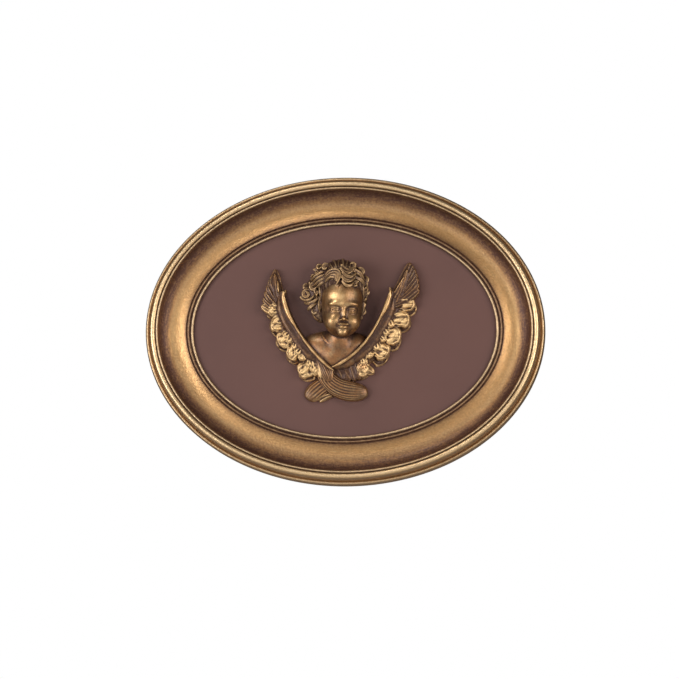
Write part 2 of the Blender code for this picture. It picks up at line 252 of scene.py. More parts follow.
def insetOf(x, z, shape):
    # how far a point lies in from the outer oval
    return crossing(x.shape, -1.0, 60.0, 30, lambda inset: (
        (x / (shape["halfWide"] - inset)) ** 2 + (z / (shape["halfTall"] - inset)) ** 2 < 1))


# the glaze across the moulding: (inset, share of dark); in the cove it stops short at the ends of the oval and
# fades slowly at the top and bottom, and this slow fade is painted shade, the dark that the cove takes where
# the side lights reach it least
outerGlaze = (
    (0.0, 0.55), (0.7, 0.5), (1.35, 0.25), (2.1, 0.5), (3.1, 0.45), (3.7, 0.25), (4.5, 0.05), (5.2, 0.08),
    (5.9, 0.5), (6.3, 1.0), (6.6, 0.6), (7.0, 0.30), (7.6, 0.8), (8.3, 1.0),
)
coveGlazeEnds = (
    (10.5, 1.0), (12.2, 0.88), (13.2, 0.5), (14.2, 0.18), (15.4, 0.06), (16.8, 0.14), (19.0, 0.22),
    (21.4, 0.36),
)
# stops for the top and bottom of the oval, with painted shade in the cove
coveGlazeTopShaded = (
    (9.5, 0.97), (11.0, 0.88), (12.5, 0.76), (14.0, 0.62), (15.5, 0.48), (17.0, 0.32), (18.5, 0.24),
    (20.0, 0.36), (21.4, 0.55),
)
innerGlaze = (
    (22.2, 0.85), (22.7, 1.0), (23.2, 0.85), (23.6, 0.62), (24.0, 0.95), (24.6, 1.0), (25.1, 0.85),
    (25.5, 0.35), (25.8, 0.3), (26.1, 0.7), (26.5, 1.0),
)
# gold rubbed pale: (inset, share)
wornAcross = (
    (0.0, 0.3), (1.35, 0.8), (2.1, 0.3), (3.7, 0.5), (4.75, 0.9), (5.9, 0.5), (7.0, 1.0), (7.6, 0.3),
    (12.0, 0.0), (14.6, 0.25), (16.8, 0.15), (21.6, 0.15), (23.5, 0.3), (25.7, 0.95), (26.5, 0.3),
)
# how far the wiped edge wavers and where; power with which the painted shade grows towards the top and bottom;
# the dark behind; scales of the brush
glazeAndShadeRule = {
    "waver": 0.3,
    "waverAt": 13.6,
    "waverHalf": 3.0,
    "topShadePower": 0.8,
    "behindBelow": 3.0,
    "behind": 0.6,
    "streaks": (9.0, 7.0, 1.6),
}


def alongStops(x, stops):
    # straight lines between stops
    places, shares = np.array(stops).T
    return np.interp(x, places, shares)


def glazeAndShadeMoulding(moulding, shape, rule):
    x, height, z = placesOf(moulding.data).T
    inset = insetOf(x, z, shape)
    angle = np.arctan2(z / shape["halfTall"], x / shape["halfWide"])
    # the wiped edge wavers a little; the share of the slow fade, which is painted shade, grows towards the top
    # and bottom
    edge = rule["waver"] * (np.sin(5 * angle + 1) + 0.6 * np.sin(13 * angle))
    wiped = inset - edge * bump(inset, rule["waverAt"], rule["waverHalf"])
    dark = alongStops(wiped, outerGlaze + coveGlazeEnds + innerGlaze)
    glazeWithTopShade = alongStops(wiped, outerGlaze + coveGlazeTopShaded + innerGlaze)
    dark = dark + (glazeWithTopShade - dark) * np.abs(np.sin(angle)) ** rule["topShadePower"]
    dark = np.where(height < rule["behindBelow"], np.maximum(dark, rule["behind"]), dark)
    writeAttribute(moulding.data, "glazeAndShade", dark)
    writeAttribute(moulding.data, "worn", alongStops(inset, wornAcross))
    # streaks of the brush run round the oval: long along it, fine across it
    wide, tall, fine = rule["streaks"]
    layer = moulding.data.attributes.new("brush", "FLOAT_VECTOR", "POINT")
    lay = np.stack([np.cos(angle) * wide, np.sin(angle) * tall, (inset + height * 0.8) * fine], 1)
    layer.data.foreach_set("vector", lay.astype(np.float32).ravel())


# nodes and materials

def feed(tree, node, values):
    # inputs by name or number: a number or a colour is set on the socket, an output is linked to it
    for label, value in values.items():
        if isinstance(value, (int, float)):
            node.inputs[label].default_value = value
        elif isinstance(value, tuple):
            node.inputs[label].default_value = (*value, 1.0)
        else:
            tree.links.new(value, node.inputs[label])


def mathNode(tree, operation, first, second, clamp=False):
    node = tree.nodes.new("ShaderNodeMath")
    node.operation = operation
    node.use_clamp = clamp
    feed(tree, node, {0: first, 1: second})
    return node.outputs[0]


def mixColour(tree, share, first, second):
    node = tree.nodes.new("ShaderNodeMix")
    node.data_type = "RGBA"
    feed(tree, node, {0: share, 6: first, 7: second})
    return node.outputs[2]


def noiseNode(tree, vector, scale, detail, roughness):
    node = tree.nodes.new("ShaderNodeTexNoise")
    feed(tree, node, {"Vector": vector, "Scale": scale, "Detail": detail, "Roughness": roughness})
    return node.outputs["Fac"]


def mapRange(tree, value, low, high, toLow=0.0, toHigh=1.0):
    node = tree.nodes.new("ShaderNodeMapRange")
    feed(tree, node, {"Value": value, "From Min": low, "From Max": high, "To Min": toLow, "To Max": toHigh})
    return node.outputs["Result"]


def attributeNode(tree, name, output="Fac"):
    node = tree.nodes.new("ShaderNodeAttribute")
    node.attribute_name = name
    return node.outputs[output]


def bumpNode(tree, height, strength, distance):
    node = tree.nodes.new("ShaderNodeBump")
    feed(tree, node, {"Height": height, "Strength": strength, "Distance": distance})
    return node.outputs["Normal"]


def newMaterial(name):
    # a material, its tree, its shader and the object coordinates
    material = bpy.data.materials.new(name)
    material.use_nodes = True
    tree = material.node_tree
    place = tree.nodes.new("ShaderNodeTexCoord").outputs["Object"]
    return material, tree, tree.nodes["Principled BSDF"], place


glazeMix = {"paleFrom": 0.48, "paleTo": 0.80, "goldMetal": 0.95, "umberMetal": 0.80, "sunk": 0.3}


def glazedGoldGroup(mix):
    # gold paint under a wiped dark glaze that also holds painted shade: mask = glaze + (streaks + specks - 1) *
    # break up, from 0 to 1; it turns gold to umber and polish to dull, and flattens the specks
    group = bpy.data.node_groups.new("glazed gold", "ShaderNodeTree")
    colours = ("Gold", "Pale Gold", "Umber")
    for label in ("Glaze And Shade", "Streaks", "Specks", "Break Up", "Polish", "Dull") + colours:
        kind = "NodeSocketColor" if label in colours else "NodeSocketFloat"
        group.interface.new_socket(label, in_out="INPUT", socket_type=kind)
    for label in ("Color", "Roughness", "Metallic", "Height"):
        kind = "NodeSocketColor" if label == "Color" else "NodeSocketFloat"
        group.interface.new_socket(label, in_out="OUTPUT", socket_type=kind)
    given = group.nodes.new("NodeGroupInput").outputs
    wear = mathNode(group, "ADD", given["Streaks"], given["Specks"])
    wear = mathNode(group, "MULTIPLY", mathNode(group, "SUBTRACT", wear, 1.0), given["Break Up"])
    mask = mathNode(group, "ADD", given["Glaze And Shade"], wear, clamp=True)
    pale = mapRange(group, given["Streaks"], mix["paleFrom"], mix["paleTo"])
    gold = mixColour(group, pale, given["Gold"], given["Pale Gold"])
    dulled = mathNode(group, "MULTIPLY", mathNode(group, "SUBTRACT", given["Dull"], given["Polish"]), mask)
    feed(group, group.nodes.new("NodeGroupOutput"), {
        "Color": mixColour(group, mask, gold, given["Umber"]),
        "Roughness": mathNode(group, "ADD", dulled, given["Polish"]),
        "Metallic": mapRange(group, mask, 0.0, 1.0, mix["goldMetal"], mix["umberMetal"]),
        "Height": mathNode(group, "SUBTRACT", given["Specks"], mathNode(group, "MULTIPLY", mask, mix["sunk"])),
    })
    return group


glazedGold = glazedGoldGroup(glazeMix)


def goldMaterial(name, look):
    # the gold is tinted by one attribute after another before the shared glaze goes over it;
    # the dulling attribute makes it rougher
    material, tree, shader, place = newMaterial(name)
    along = attributeNode(tree, look["streaksAlong"], "Vector") if look["streaksAlong"] else place
    paint = look["gold"]
    for attribute, colour in look["tints"]:
        paint = mixColour(tree, attributeNode(tree, attribute), paint, look[colour])
    polish = look["polish"]
    if look["dulling"]:
        attribute, amount = look["dulling"]
        dulled = mathNode(tree, "MULTIPLY", attributeNode(tree, attribute), amount)
        polish = mathNode(tree, "ADD", dulled, polish)
    gold = tree.nodes.new("ShaderNodeGroup")
    gold.node_tree = glazedGold
    feed(tree, gold, {
        "Glaze And Shade": attributeNode(tree, "glazeAndShade"),
        "Streaks": noiseNode(tree, along, *look["streaks"]),
        "Specks": noiseNode(tree, place, *look["specks"]),
        "Break Up": look["breakUp"],
        "Gold": paint,
        "Pale Gold": look["pale"],
        "Umber": look["umber"],
        "Polish": polish,
        "Dull": look["dull"],
    })
    feed(tree, shader, {
        "Base Color": gold.outputs["Color"],
        "Roughness": gold.outputs["Roughness"],
        "Metallic": gold.outputs["Metallic"],
        "Coat Weight": look["varnish"],
        "Coat Roughness": look["varnishRoughness"],
        "Normal": bumpNode(tree, gold.outputs["Height"], look["grainStrength"], look["grain"]),
    })
    return material


mouldingLook = {
    "gold": (0.52, 0.264, 0.082),
    "pale": (0.78, 0.52, 0.23),
    "umber": (0.094, 0.043, 0.028),
    "rubbed": (0.84, 0.63, 0.37),
    "tints": (("worn", "rubbed"),),
    "dulling": None,
    "polish": 0.35,
    "dull": 0.56,
    # scale, detail and roughness of the noise
    "streaks": (2.2, 5.0, 0.6),
    "streaksAlong": "brush",
    "specks": (900.0, 3.0, 0.6),
    "breakUp": 0.65,
    "grain": 0.00036,
    "grainStrength": 0.6,
    "varnish": 0.10,
    "varnishRoughness": 0.30,
}

moulding = makeMoulding(mouldingShape)
glazeAndShadeMoulding(moulding, mouldingShape, glazeAndShadeRule)
moulding.data.materials.append(goldMaterial("glazed gold moulding", mouldingLook))
moulding.data.shade_smooth()
moulding.data.set_sharp_from_angle(angle=math.radians(mouldingShape["sharpOver"]))
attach(moulding, "root")
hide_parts("frame")
print("moulding:", len(moulding.data.polygons), "faces")


# board: the node itself, in matte paint

boardLook = {
    "paint": (0.087, 0.033, 0.023),
    "paler": (0.097, 0.0385, 0.0275),
    "roughness": 0.62,
    "cloud": (22.0, 3.0, 0.5),
    "grain": (1500.0, 2.0, 0.5),
    "grainHeight": 0.00003,
    "grainStrength": 0.25,
    "palerAt": (0.35, 0.65),
    "dullAt": (0.3, 0.7),
    "dullSpread": 0.05,
}


def boardMaterial(look):
    material, tree, shader, place = newMaterial("matte brown paint")
    cloud = noiseNode(tree, place, *look["cloud"])
    grain = noiseNode(tree, place, *look["grain"])
    dull, spread = look["roughness"], look["dullSpread"]
    feed(tree, shader, {
        "Base Color": mixColour(tree, mapRange(tree, cloud, *look["palerAt"]), look["paint"], look["paler"]),
        "Roughness": mapRange(tree, cloud, *look["dullAt"], dull - spread, dull + spread),
        "Normal": bumpNode(tree, grain, look["grainStrength"], look["grainHeight"]),
    })
    return material


board = frame["nodes"]["panel"]
board.data.materials.clear()
board.data.materials.append(boardMaterial(boardLook))
print("board painted")


# cherub: closed grid forms, joined into one skin like a casting and sawn flat behind

castShape = {
    "back": 7.8,
    "base": 7.0,
    "voxel": 0.27,
    "voxelQuick": 0.42,
    "mostTriangles": 194000,
}

pile = {"points": [], "faces": [], "finish": [], "count": 0}


def addForm(grid, finish):
    # a closed tube of rings, rows by columns, with a fan of faces over each end;
    # finish is (dark, copper, dry brushing) for the whole form or for each point
    rows, columns = grid.shape[:2]
    colour = np.broadcast_to(np.asarray(finish, float), grid.shape)
    ring = np.arange(columns)
    beside = np.roll(ring, -1)
    last = (rows - 1) * columns
    hub = np.full(columns, rows * columns)
    first = pile["count"]
    pile["faces"] += (quadsOf(rows, columns) + first).tolist()
    pile["faces"] += (np.stack([beside, ring, hub], 1) + first).tolist()
    pile["faces"] += (np.stack([ring + last, beside + last, hub + 1], 1) + first).tolist()
    pile["points"] += [grid.reshape(-1, 3), grid[[0, -1]].mean(1)]
    pile["finish"] += [colour.reshape(-1, 3), colour[[0, -1]].mean(1)]
    pile["count"] += rows * columns + 2


def onCurve(controls, t):
    # a Bezier curve of any degree, by repeated mixing of neighbours
    points = np.repeat(np.asarray(controls, float)[:, None, :], len(t), 1)
    t = t[None, :, None]
    while len(points) > 1:
        points = points[:-1] * (1 - t) + points[1:] * t
    return points[0]


def sideOf(path):
    # unit vectors square to a flat path, on its left as it runs
    along = np.gradient(path, axis=0)
    side = np.stack([-along[:, 1], along[:, 0]], 1)
    return (side / np.linalg.norm(side, axis=1, keepdims=True))[:, None, :]


def headingOf(degrees):
    # unit vectors along a direction and to its left
    turn = math.radians(degrees)
    ahead = np.array([math.cos(turn), math.sin(turn)])
    return ahead, np.array([-ahead[1], ahead[0]])


feathersLook = {
    # dark glaze, copper tint, pale dry brushing
    "lobe": (0.06, 0.20, 0.92),
    "lobeStem": (0.94, 0.3, 0.1),
    "covert": (0.14, 0.1, 0.85),
    "covertStem": (0.85, 0.3, 0.1),
    "tip": (0.97, 0.35, 0.0),
    "tipDim": (0.84, 0.35, 0.05),
    "tipLow": (0.62, 0.25, 0.25),
    "band": (1.0, 0.40, 0.0),
    "ridge": (0.20, 0.15, 0.35),
    "ridgeDark": (0.55, 0.2, 0.2),
    "lowFan": (0.50, 0.65, 0.10),
    "shade": (1.05, 0.3, 0.0),
    "rosette": (0.45, 0.9, 0.25),
}


def blendFinish(first, last, share):
    # first + (last - first) * share
    first = np.asarray(feathersLook[first])
    return first + (np.asarray(feathersLook[last]) - first) * share[..., None]


def addSlab(flat, top, look, share):
    # a sheet over flat points (x, z) at height top, with upright walls down to the base;
    # its finish goes from the first look to the last by share
    upper = np.stack([flat[:, :, 0], top, flat[:, :, 1]], 2)
    lower = upper[:, [-1, 0]].copy()
    lower[:, :, 1] = castShape["base"]
    colour = blendFinish(*look, share)
    addForm(np.concatenate([upper, lower], 1), np.concatenate([colour, colour[:, [-1, 0]]], 1))


def leafGrid(rows, columns, widest, stem, blunt, domed):
    # u runs from stem to tip and v across; outline is the half width as a share of the widest: a
    # quarter sine from the stem, then round with the power blunt; edge is 0 along the middle and 1 at
    # the rim and round the tip; dome = sqrt(1 - edge ** domed)
    u = np.linspace(0, 1, rows)[:, None]
    v = np.sin(np.linspace(-math.pi / 2, math.pi / 2, columns))[None, :]
    rise = stem + (1 - stem) * np.sin(np.clip(u / widest, 0, 1) * math.pi / 2)
    t = np.clip((u - widest) / (1 - widest), 0, 1)
    outline = rise * np.maximum(1 - t ** blunt, 0.0004) ** (1 / blunt)
    edge = np.sqrt(v ** 2 * (1 - t ** 2) + t ** 2)
    return u, v, outline, edge, np.sqrt(np.maximum(1 - edge ** domed, 0.0))


def addLeaf(spine, halfWidth, v, top, look, share):
    # point(u, v) = spine(u) + v * halfWidth(u, v) * side(u), at height top(u, v)
    addSlab(spine[:, None, :] + sideOf(spine) * (halfWidth * v)[:, :, None], top, look, share)


# grid holds what leafGrid takes; depths in millimetres; the shares of dark end in Dark
lobeShape = {
    "grid": (46, 45, 0.64, 0.34, 2.3, 2.8),
    "sway": 0.5,
    "fold": 0.55,
    "bead": 0.30,
    "groove": 0.26,
    "crease": 0.065,
    "creaseReach": 11.0,
    "foldDark": 0.55,
    "grooveDark": 0.40,
    "creaseDark": 0.45,
}
featherShape = {"columns": 49, "blunt": 2.0, "domed": 2.4, "ridge": 0.24, "quill": 0.22, "bead": 0.16}
lowFanShape = {"grid": (110, 121, 0.62, 0.80, 2.5, 3.0), "ridge": 0.42, "tilt": 0.25}


def addLobe(root, angle, reach, width, rim, crown, seed, look=("lobeStem", "lobe"), folds=2.0, under=False):
    # a petal that broadens outwards: height = rim + crown * dome, less folds that fan out from the
    # stem, plus a bead at the rim and a groove inside it, plus creases where slanting waves pass
    # through zero; an under petal is dark but for its rim
    shape = lobeShape
    u, v, outline, edge, dome = leafGrid(*shape["grid"])
    ahead, left = headingOf(angle)
    spine = np.asarray(root) + ahead * reach * u + left * shape["sway"] * np.sin(math.pi * u + seed)
    wavy = 1 + (0.08 * np.sin(11 * u + seed * 2.3 + 2 * v) + 0.04 * np.sin(23 * u + seed)) * np.abs(v)
    fan = 0.5 - 0.5 * np.cos(2 * math.pi * folds * (v * 0.5 + 0.25 * math.sin(2.7 * seed)))
    fan = fan ** 3 * (1 - ramp(u, 0.5, 0.95)) * ramp(u, 0.05, 0.3)
    spread = v * (1.25 - 0.5 * u)
    crease = (np.abs(np.sin(4.6 * spread + 1.2 * u + 1.7 * seed))
              + np.abs(np.sin(6.4 * u - 2.4 * v + 2.9 * seed))
              + 0.5 * np.abs(np.sin(9.5 * spread - 1.5 * u + 0.8 * seed)) - 1.5)
    groove = bump(edge, 0.74, 0.07)
    top = (rim + crown * dome * (0.62 + 0.38 * ramp(u, 0.2, 0.7)) - shape["fold"] * fan * dome
           + shape["bead"] * bump(edge, 0.88, 0.06) - shape["groove"] * groove
           + shape["crease"] * min(reach, shape["creaseReach"]) * crease * dome * ramp(edge, 1.0, 0.7))
    share = np.clip(ramp(u, 0.18, 0.45) - shape["foldDark"] * fan - shape["grooveDark"] * groove
                    - shape["creaseDark"] * ramp(crease, 0.15, -0.7), 0, 1)
    if under:
        share = bump(edge, 0.96, 0.09) * (0.6 + 0.4 * np.sin(5 * v + 4 * u + 3 * seed))
    addLeaf(spine, outline * wavy * width / 2, v, top, look, share)


def addFeather(root, tip, bend, width, rim, crown, lines, tilt, look, stem, widest=0.5, rows=60):
    # a long feather: height = rim + (crown + tilt * v) * dome, with fine ridges that run its length,
    # a quill down the middle and a bead at the rim
    shape = featherShape
    u, v, outline, edge, dome = leafGrid(rows, shape["columns"], widest, stem, shape["blunt"], shape["domed"])
    root, tip = np.array(root, float), np.array(tip, float)
    way = tip - root
    square = np.array([-way[1], way[0]]) / np.linalg.norm(way)
    spine = onCurve([root, (root + tip) / 2 + 2 * bend * square, tip], u[:, 0])
    thin = (0.5 + 0.5 * np.cos(math.pi * (lines * v))) ** 3
    top = rim + crown * dome + tilt * v * dome + shape["ridge"] * thin * ramp(dome, 0.1, 0.5)
    top = top + shape["quill"] * bump(v, 0.0, 0.09) * dome + shape["bead"] * bump(edge, 0.9, 0.06)
    share = np.clip(0.15 * u + 0.6 * thin + 0.5 * bump(edge, 0.94, 0.06), 0, 1)
    addLeaf(spine, outline * width / 2, v, top, look, share)


def addLowFan(spinePoints, width, rim, crown, lines):
    # a broad curved leaf with fine ridges that follow its whole length
    u, v, outline, edge, dome = leafGrid(*lowFanShape["grid"])
    waves = 0.5 + 0.5 * np.cos(2 * math.pi * lines * (np.arcsin(v) / math.pi + 0.5 + 0.03 * np.sin(4 * u)))
    ridges = waves ** 2 * (1 - 0.75 * ramp(u, 0.6, 0.95)) * (0.55 + 0.45 * ramp(np.abs(v), 0.1, 0.6))
    top = (rim + crown * dome + lowFanShape["ridge"] * ridges * ramp(dome, 0.1, 0.6)
           + lowFanShape["tilt"] * v * dome)
    share = np.clip(0.30 + 0.85 * ridges - 0.25 * ramp(u, 0.75, 1.0), 0, 1)
    addLeaf(onCurve(spinePoints, u[:, 0]), outline * width / 2, v, top, ("tip", "lowFan"), share)


def tubeForm(path, radius, strands=0, depth=0.0, twist=0.0, flat=1.0):
    # a rod along a path of (x, height, z): the ring at u has radius r(u) * (1 - depth * (0.5 + 0.5 *
    # cos(strands * angle + twist * u))), and flat presses it towards the wall
    along = np.gradient(path, axis=0)
    along /= np.linalg.norm(along, axis=1, keepdims=True)
    side = np.cross(along, [0.0, 1.0, 0.0])
    side /= np.maximum(np.linalg.norm(side, axis=1, keepdims=True), 0.05)
    out = np.cross(side, along)
    angle = circle(max(20, strands * 6))[None, :]
    u = np.linspace(0, 1, len(path))[:, None]
    cut = 1 - depth * (0.5 + 0.5 * np.cos(strands * angle + twist * u))
    reach = np.asarray(radius).reshape(-1, 1) * cut
    return (path[:, None, :] + side[:, None, :] * (reach * np.cos(angle))[:, :, None]
            + out[:, None, :] * (reach * np.sin(angle) * flat)[:, :, None])


def spiral(x, height, z, reach, angle):
    # points (x, height, z) round an upright axis at a reach for each angle
    return np.stack([x + reach * np.cos(angle), height, z + reach * np.sin(angle)], 1)


# each wing: its edge as a curve of (x, z), the side that it faces, how far it is lifted; the curves
# of the fan's roots and tips with (finishes, lines) of each feather; lobes as (place on the edge,
# direction, reach, width); coverts as (first place, last place, count); the thick part of the ridge as
# (first place, last place, radius); prongs as (root, tip, width, rim); leading feathers as (root, tip)
leftWing = {
    "edge": ((-33.0, 21.0), (-31.0, 8.0), (-24.0, -6.0), (-5.6, -22.4)),
    "outward": -1,
    "lift": 0.6,
    "roots": ((-33.4, 17.0), (-33.8, 13.0), (-32.4, 8.6)),
    "tips": ((-37.4, 33.4), (-42.0, 26.0), (-44.8, 13.8)),
    "fan": ((("tip", "tipDim"), 2),) * 4 + ((("tip", "tipLow"), 3),) * 2 + ((("tipDim", "lobe"), 3),),
    "lobes": (
        (0.27, 172, 12.6, 7.4), (0.42, 184, 14.0, 9.4), (0.57, 201, 14.6, 9.6), (0.70, 208, 14.4, 8.2),
        (0.84, 221, 15.6, 9.4),
    ),
    "coverts": (0.46, 0.86, 7),
    "thickRidge": (-0.12, 0.47, 1.3),
    "prongs": (((-32.9, 17.4), (-31.5, 21.9), 1.6, 12.6), ((-35.3, 20.4), (-35.8, 26.6), 1.3, 12.4)),
    "leading": (((-34.2, 16.0), (-36.3, 27.5)), ((-34.6, 12.0), (-37.6, 31.0))),
}

rightWing = {
    "edge": ((25.2, 21.0), (20.5, 9.0), (16.0, -9.0), (-6.4, -20.5)),
    "outward": 1,
    "lift": 0.0,
    "roots": ((26.8, 19.4), (27.6, 16.6), (27.4, 13.4)),
    "tips": ((35.4, 36.6), (40.2, 32.0), (40.2, 22.2)),
    "fan": ((("shade", "tipDim"), 2),) * 3 + ((("shade", "tipDim"), 3),) * 4,
    "lobes": (
        (0.20, 2, 17.4, 7.6), (0.36, -2, 17.4, 9.8), (0.52, -14, 16.8, 10.2), (0.68, -24, 16.0, 10.0),
        (0.83, -49, 14.8, 8.0),
    ),
    "coverts": (0.34, 0.76, 6),
    "thickRidge": (-0.12, 0.36, 1.4),
    "prongs": (((25.3, 18.4), (24.6, 23.1), 1.5, 12.6), ((27.0, 20.0), (32.2, 28.4), 0.9, 12.0)),
    "leading": (((27.2, 17.0), (31.6, 27.6)), ((28.2, 15.0), (34.0, 33.0))),
}

wingShape = {
    "ridgeTop": 15.4,
    "ridgeThin": 0.64,
    "ridgeWaver": 0.05,
    "armWaver": 0.10,
    # the arm: (distance from the edge, height)
    "arm": (
        (-1.3, 9.0), (-0.9, 12.0), (-0.4, 14.0), (0.4, 14.2), (1.4, 13.7), (2.6, 13.6), (4.0, 13.6),
        (5.0, 13.1), (5.7, 12.3), (6.4, 11.6), (8.0, 11.2), (9.6, 9.8),
    ),
    "armFoot": 8.5,
    # width, crown, rim of the first feather, step of the rim, bend and tilt
    "fan": (4.9, 1.4, 9.7, 0.22, -0.9, -0.5),
    "leading": (3.8, 1.5, 11.6, -0.5, -0.5, 0.4),
    # petals start inside the edge; turn, shortening, share of the width, rim, crown
    "lobeStart": 3.0,
    "under": (-13, 3.6, 1.04, 8.1, 0.9),
    "lobe": (3, 4.5, 1.02, 9.9, 2.9),
    # start, slant along the edge, reach, width, its change, rim, crown
    "covert": (3.4, 0.55, 5.4, 4.9, 0.6, 11.3, 2.0),
}


def addArm(wing):
    # the smooth arm of the wing: distance s square to its edge curve, height(s) by its stops with slow
    # waves; both shrink towards the ends
    stops = np.array(wingShape["arm"])
    t = np.linspace(0, 1, 150)[:, None]
    s = np.linspace(stops[0, 0], stops[-1, 0], 50)[None, :]
    spine = onCurve(wing["edge"], t[:, 0])
    fullness = np.minimum(1.0, np.minimum(0.45 + 2.6 * t, 0.05 + 4.2 * (1 - t)))
    flat = spine[:, None, :] + sideOf(spine) * wing["outward"] * (s * fullness)[:, :, None]
    height = np.interp(s, stops[:, 0], stops[:, 1]) + wing["lift"]
    height = height + wingShape["armWaver"] * np.sin(22 * t + s) * bump(s, 3.0, 2.0)
    foot = wingShape["armFoot"]
    height = foot + (height - foot) * (0.75 + 0.25 * fullness)
    addSlab(flat, height, ("band", "lobeStem"), np.clip(s - 4.6, 0, 1) + 0 * t)


def addRidge(wing):
    # a wiry rod along the edge that swells to a thick rounded one in its upper third:
    # radius = thin + (thick - thin) * sin(pi * share ** 1.5), thinned at both ends
    t = np.linspace(0, 1, 220)
    path = onCurve(wing["edge"], t)
    first, last, thick = wing["thickRidge"]
    thin = wingShape["ridgeThin"]
    swell = np.sin(math.pi * np.clip((t - first) / (last - first), 0, 1) ** 1.5)
    radius = thin + (thick - thin) * swell + 0.22 * ramp(t, 0.55, 0.75)
    taper = (0.3 + 0.7 * ramp(1 - t, 0.0, 0.07)) * (0.4 + 0.6 * ramp(t, 0.0, 0.08))
    radius = (radius + wingShape["ridgeWaver"] * np.sin(60 * t) * ramp(t, 0.5, 0.6)) * taper
    height = wingShape["ridgeTop"] + wing["lift"] - radius + 0.35 * swell
    path = path + sideOf(path)[:, 0] * wing["outward"] * (0.75 * (radius - thin))[:, None]
    rod = tubeForm(np.stack([path[:, 0], height, path[:, 1]], 1), radius)
    patches = (0.5 + 0.5 * np.sin(23 * t + 5 * np.sin(7 * t) + 2 * wing["outward"])) ** 2 * (1 - 0.4 * swell)
    addForm(rod, blendFinish("ridge", "ridgeDark", np.repeat(patches[:, None], rod.shape[1], 1)))
    for root, tip, width, rim in wing["prongs"]:
        rim = rim + wing["lift"]
        addFeather(root, tip, 0.1, width, rim, 1.3, 1, 0.0, ("ridgeDark", "ridge"), 0.8, rows=30)


def addFan(wing):
    # long feathers between the curves of roots and tips, then the leading feathers over the first
    out = wing["outward"]
    shares = np.linspace(0, 1, len(wing["fan"]))
    places = zip(onCurve(wing["roots"], shares), onCurve(wing["tips"], shares))
    width, crown, rim, step, bend, tilt = wingShape["fan"]
    for k, ((root, tip), (look, lines)) in enumerate(zip(places, wing["fan"])):
        addFeather(root, tip, out * bend, width, rim + step * k, crown, lines, out * tilt, look, 0.8, 0.62)
    width, crown, rim, step, bend, tilt = wingShape["leading"]
    for k, (root, tip) in enumerate(wing["leading"]):
        addFeather(root, tip, out * bend, width, rim + step * k, crown, 1, out * tilt, ("tip", "tipDim"), 0.8)


def addPetals(wing):
    # petals in two layers, then the short coverts over their roots
    out, lift = wing["outward"], wing["lift"]
    for k, (t, angle, reach, width) in enumerate(wing["lobes"]):
        start = onCurve(wing["edge"], np.array([t]))[0] + wingShape["lobeStart"] * headingOf(angle)[0]
        turn, less, wide, rim, crown = wingShape["under"]
        addLobe(start, angle + out * turn, reach - less, width * wide, rim + lift, crown, k + 0.5,
                ("shade", "lobe"), 5.0, True)
        turn, less, wide, rim, crown = wingShape["lobe"]
        addLobe(start, angle + out * turn, reach - less, width * wide, rim + lift, crown, k * 1.7 + out)
    first, last, count = wing["coverts"]
    inward, slant, reach, width, change, rim, crown = wingShape["covert"]
    for k in range(count):
        t = first + (last - first) * k / (count - 1)
        base, near = onCurve(wing["edge"], np.array([t, t + 0.001]))
        ahead = (near - base) / np.linalg.norm(near - base)
        away = np.array([-ahead[1], ahead[0]]) * out
        way = away + ahead * slant
        angle = math.degrees(math.atan2(way[1], way[0]))
        wide = width + change * math.sin(2.4 * k)
        addLobe(base + away * inward, angle, reach, wide, rim + lift, crown, k * 2.1 + 1,
                ("covertStem", "covert"), 3.0)


def addWing(wing):
    # layers from the back to the front
    for layer in (addFan, addPetals, addArm, addRidge):
        layer(wing)


lowFans = (
    # curve of the middle, width, rim, crown, lines
    (((-3.0, -26.0), (-13.0, -29.4), (-20.4, -37.0)), 9.6, 8.6, 2.2, 8),
    (((-11.2, -22.6), (-5.8, -34.4), (12.6, -33.4)), 11.0, 9.6, 3.0, 11),
)

# leaves at the crossing under the left wing and over it: root, tip, bend, width, rim, crown, lines, finishes
leavesBelow = (
    ((-6.6, -34.0), (-17.6, -38.3), -0.5, 2.6, 8.6, 1.2, 1, ("tip", "lobe")),
    ((-5.6, -34.8), (-13.6, -38.6), -0.5, 2.6, 8.2, 1.2, 1, ("tip", "lobe")),
    ((-4.6, -19.4), (-0.6, -27.4), 0.3, 4.2, 9.8, 1.4, 2, ("shade", "tip")),
    ((-1.5, -19.0), (3.2, -27.2), 0.2, 4.4, 9.6, 1.4, 2, ("shade", "tip")),
    ((2.6, -18.0), (5.6, -27.6), 0.2, 3.8, 10.0, 1.4, 2, ("shade", "tip")),
    ((5.0, -16.5), (8.2, -27.0), 0.2, 4.0, 10.2, 1.5, 2, ("shade", "tip")),
    ((7.4, -14.5), (11.4, -22.6), 0.0, 6.4, 10.4, 1.6, 3, ("shade", "tip")),
    ((9.6, -19.4), (15.9, -23.4), 0.0, 4.6, 10.4, 1.6, 2, ("lobeStem", "lobe")),
)
leavesAbove = (
    ((-17.0, -17.0), (-15.4, -24.6), 0.0, 4.6, 11.2, 1.9, 3, ("covert", "lobe")),
    ((-14.5, -17.0), (-11.8, -26.0), 0.0, 4.2, 11.4, 1.9, 3, ("covert", "lobe")),
    ((-14.0, -14.5), (-7.9, -28.0), 0.7, 7.4, 12.0, 2.1, 7, ("tip", "lowFan")),
)


def addLeaves(leaves, tilt, stem, widest):
    # feathers alike in tilt, stem and the place of their widest part
    for *shape, look in leaves:
        addFeather(*shape, tilt, look, stem, widest)


rosetteShape = {
    "place": (9.3, 12.0, -20.0),
    "radius": 2.3,
    "dome": 1.2,
    "rise": 1.4,
    "rounds": 2.3,
    "rod": 0.62,
}


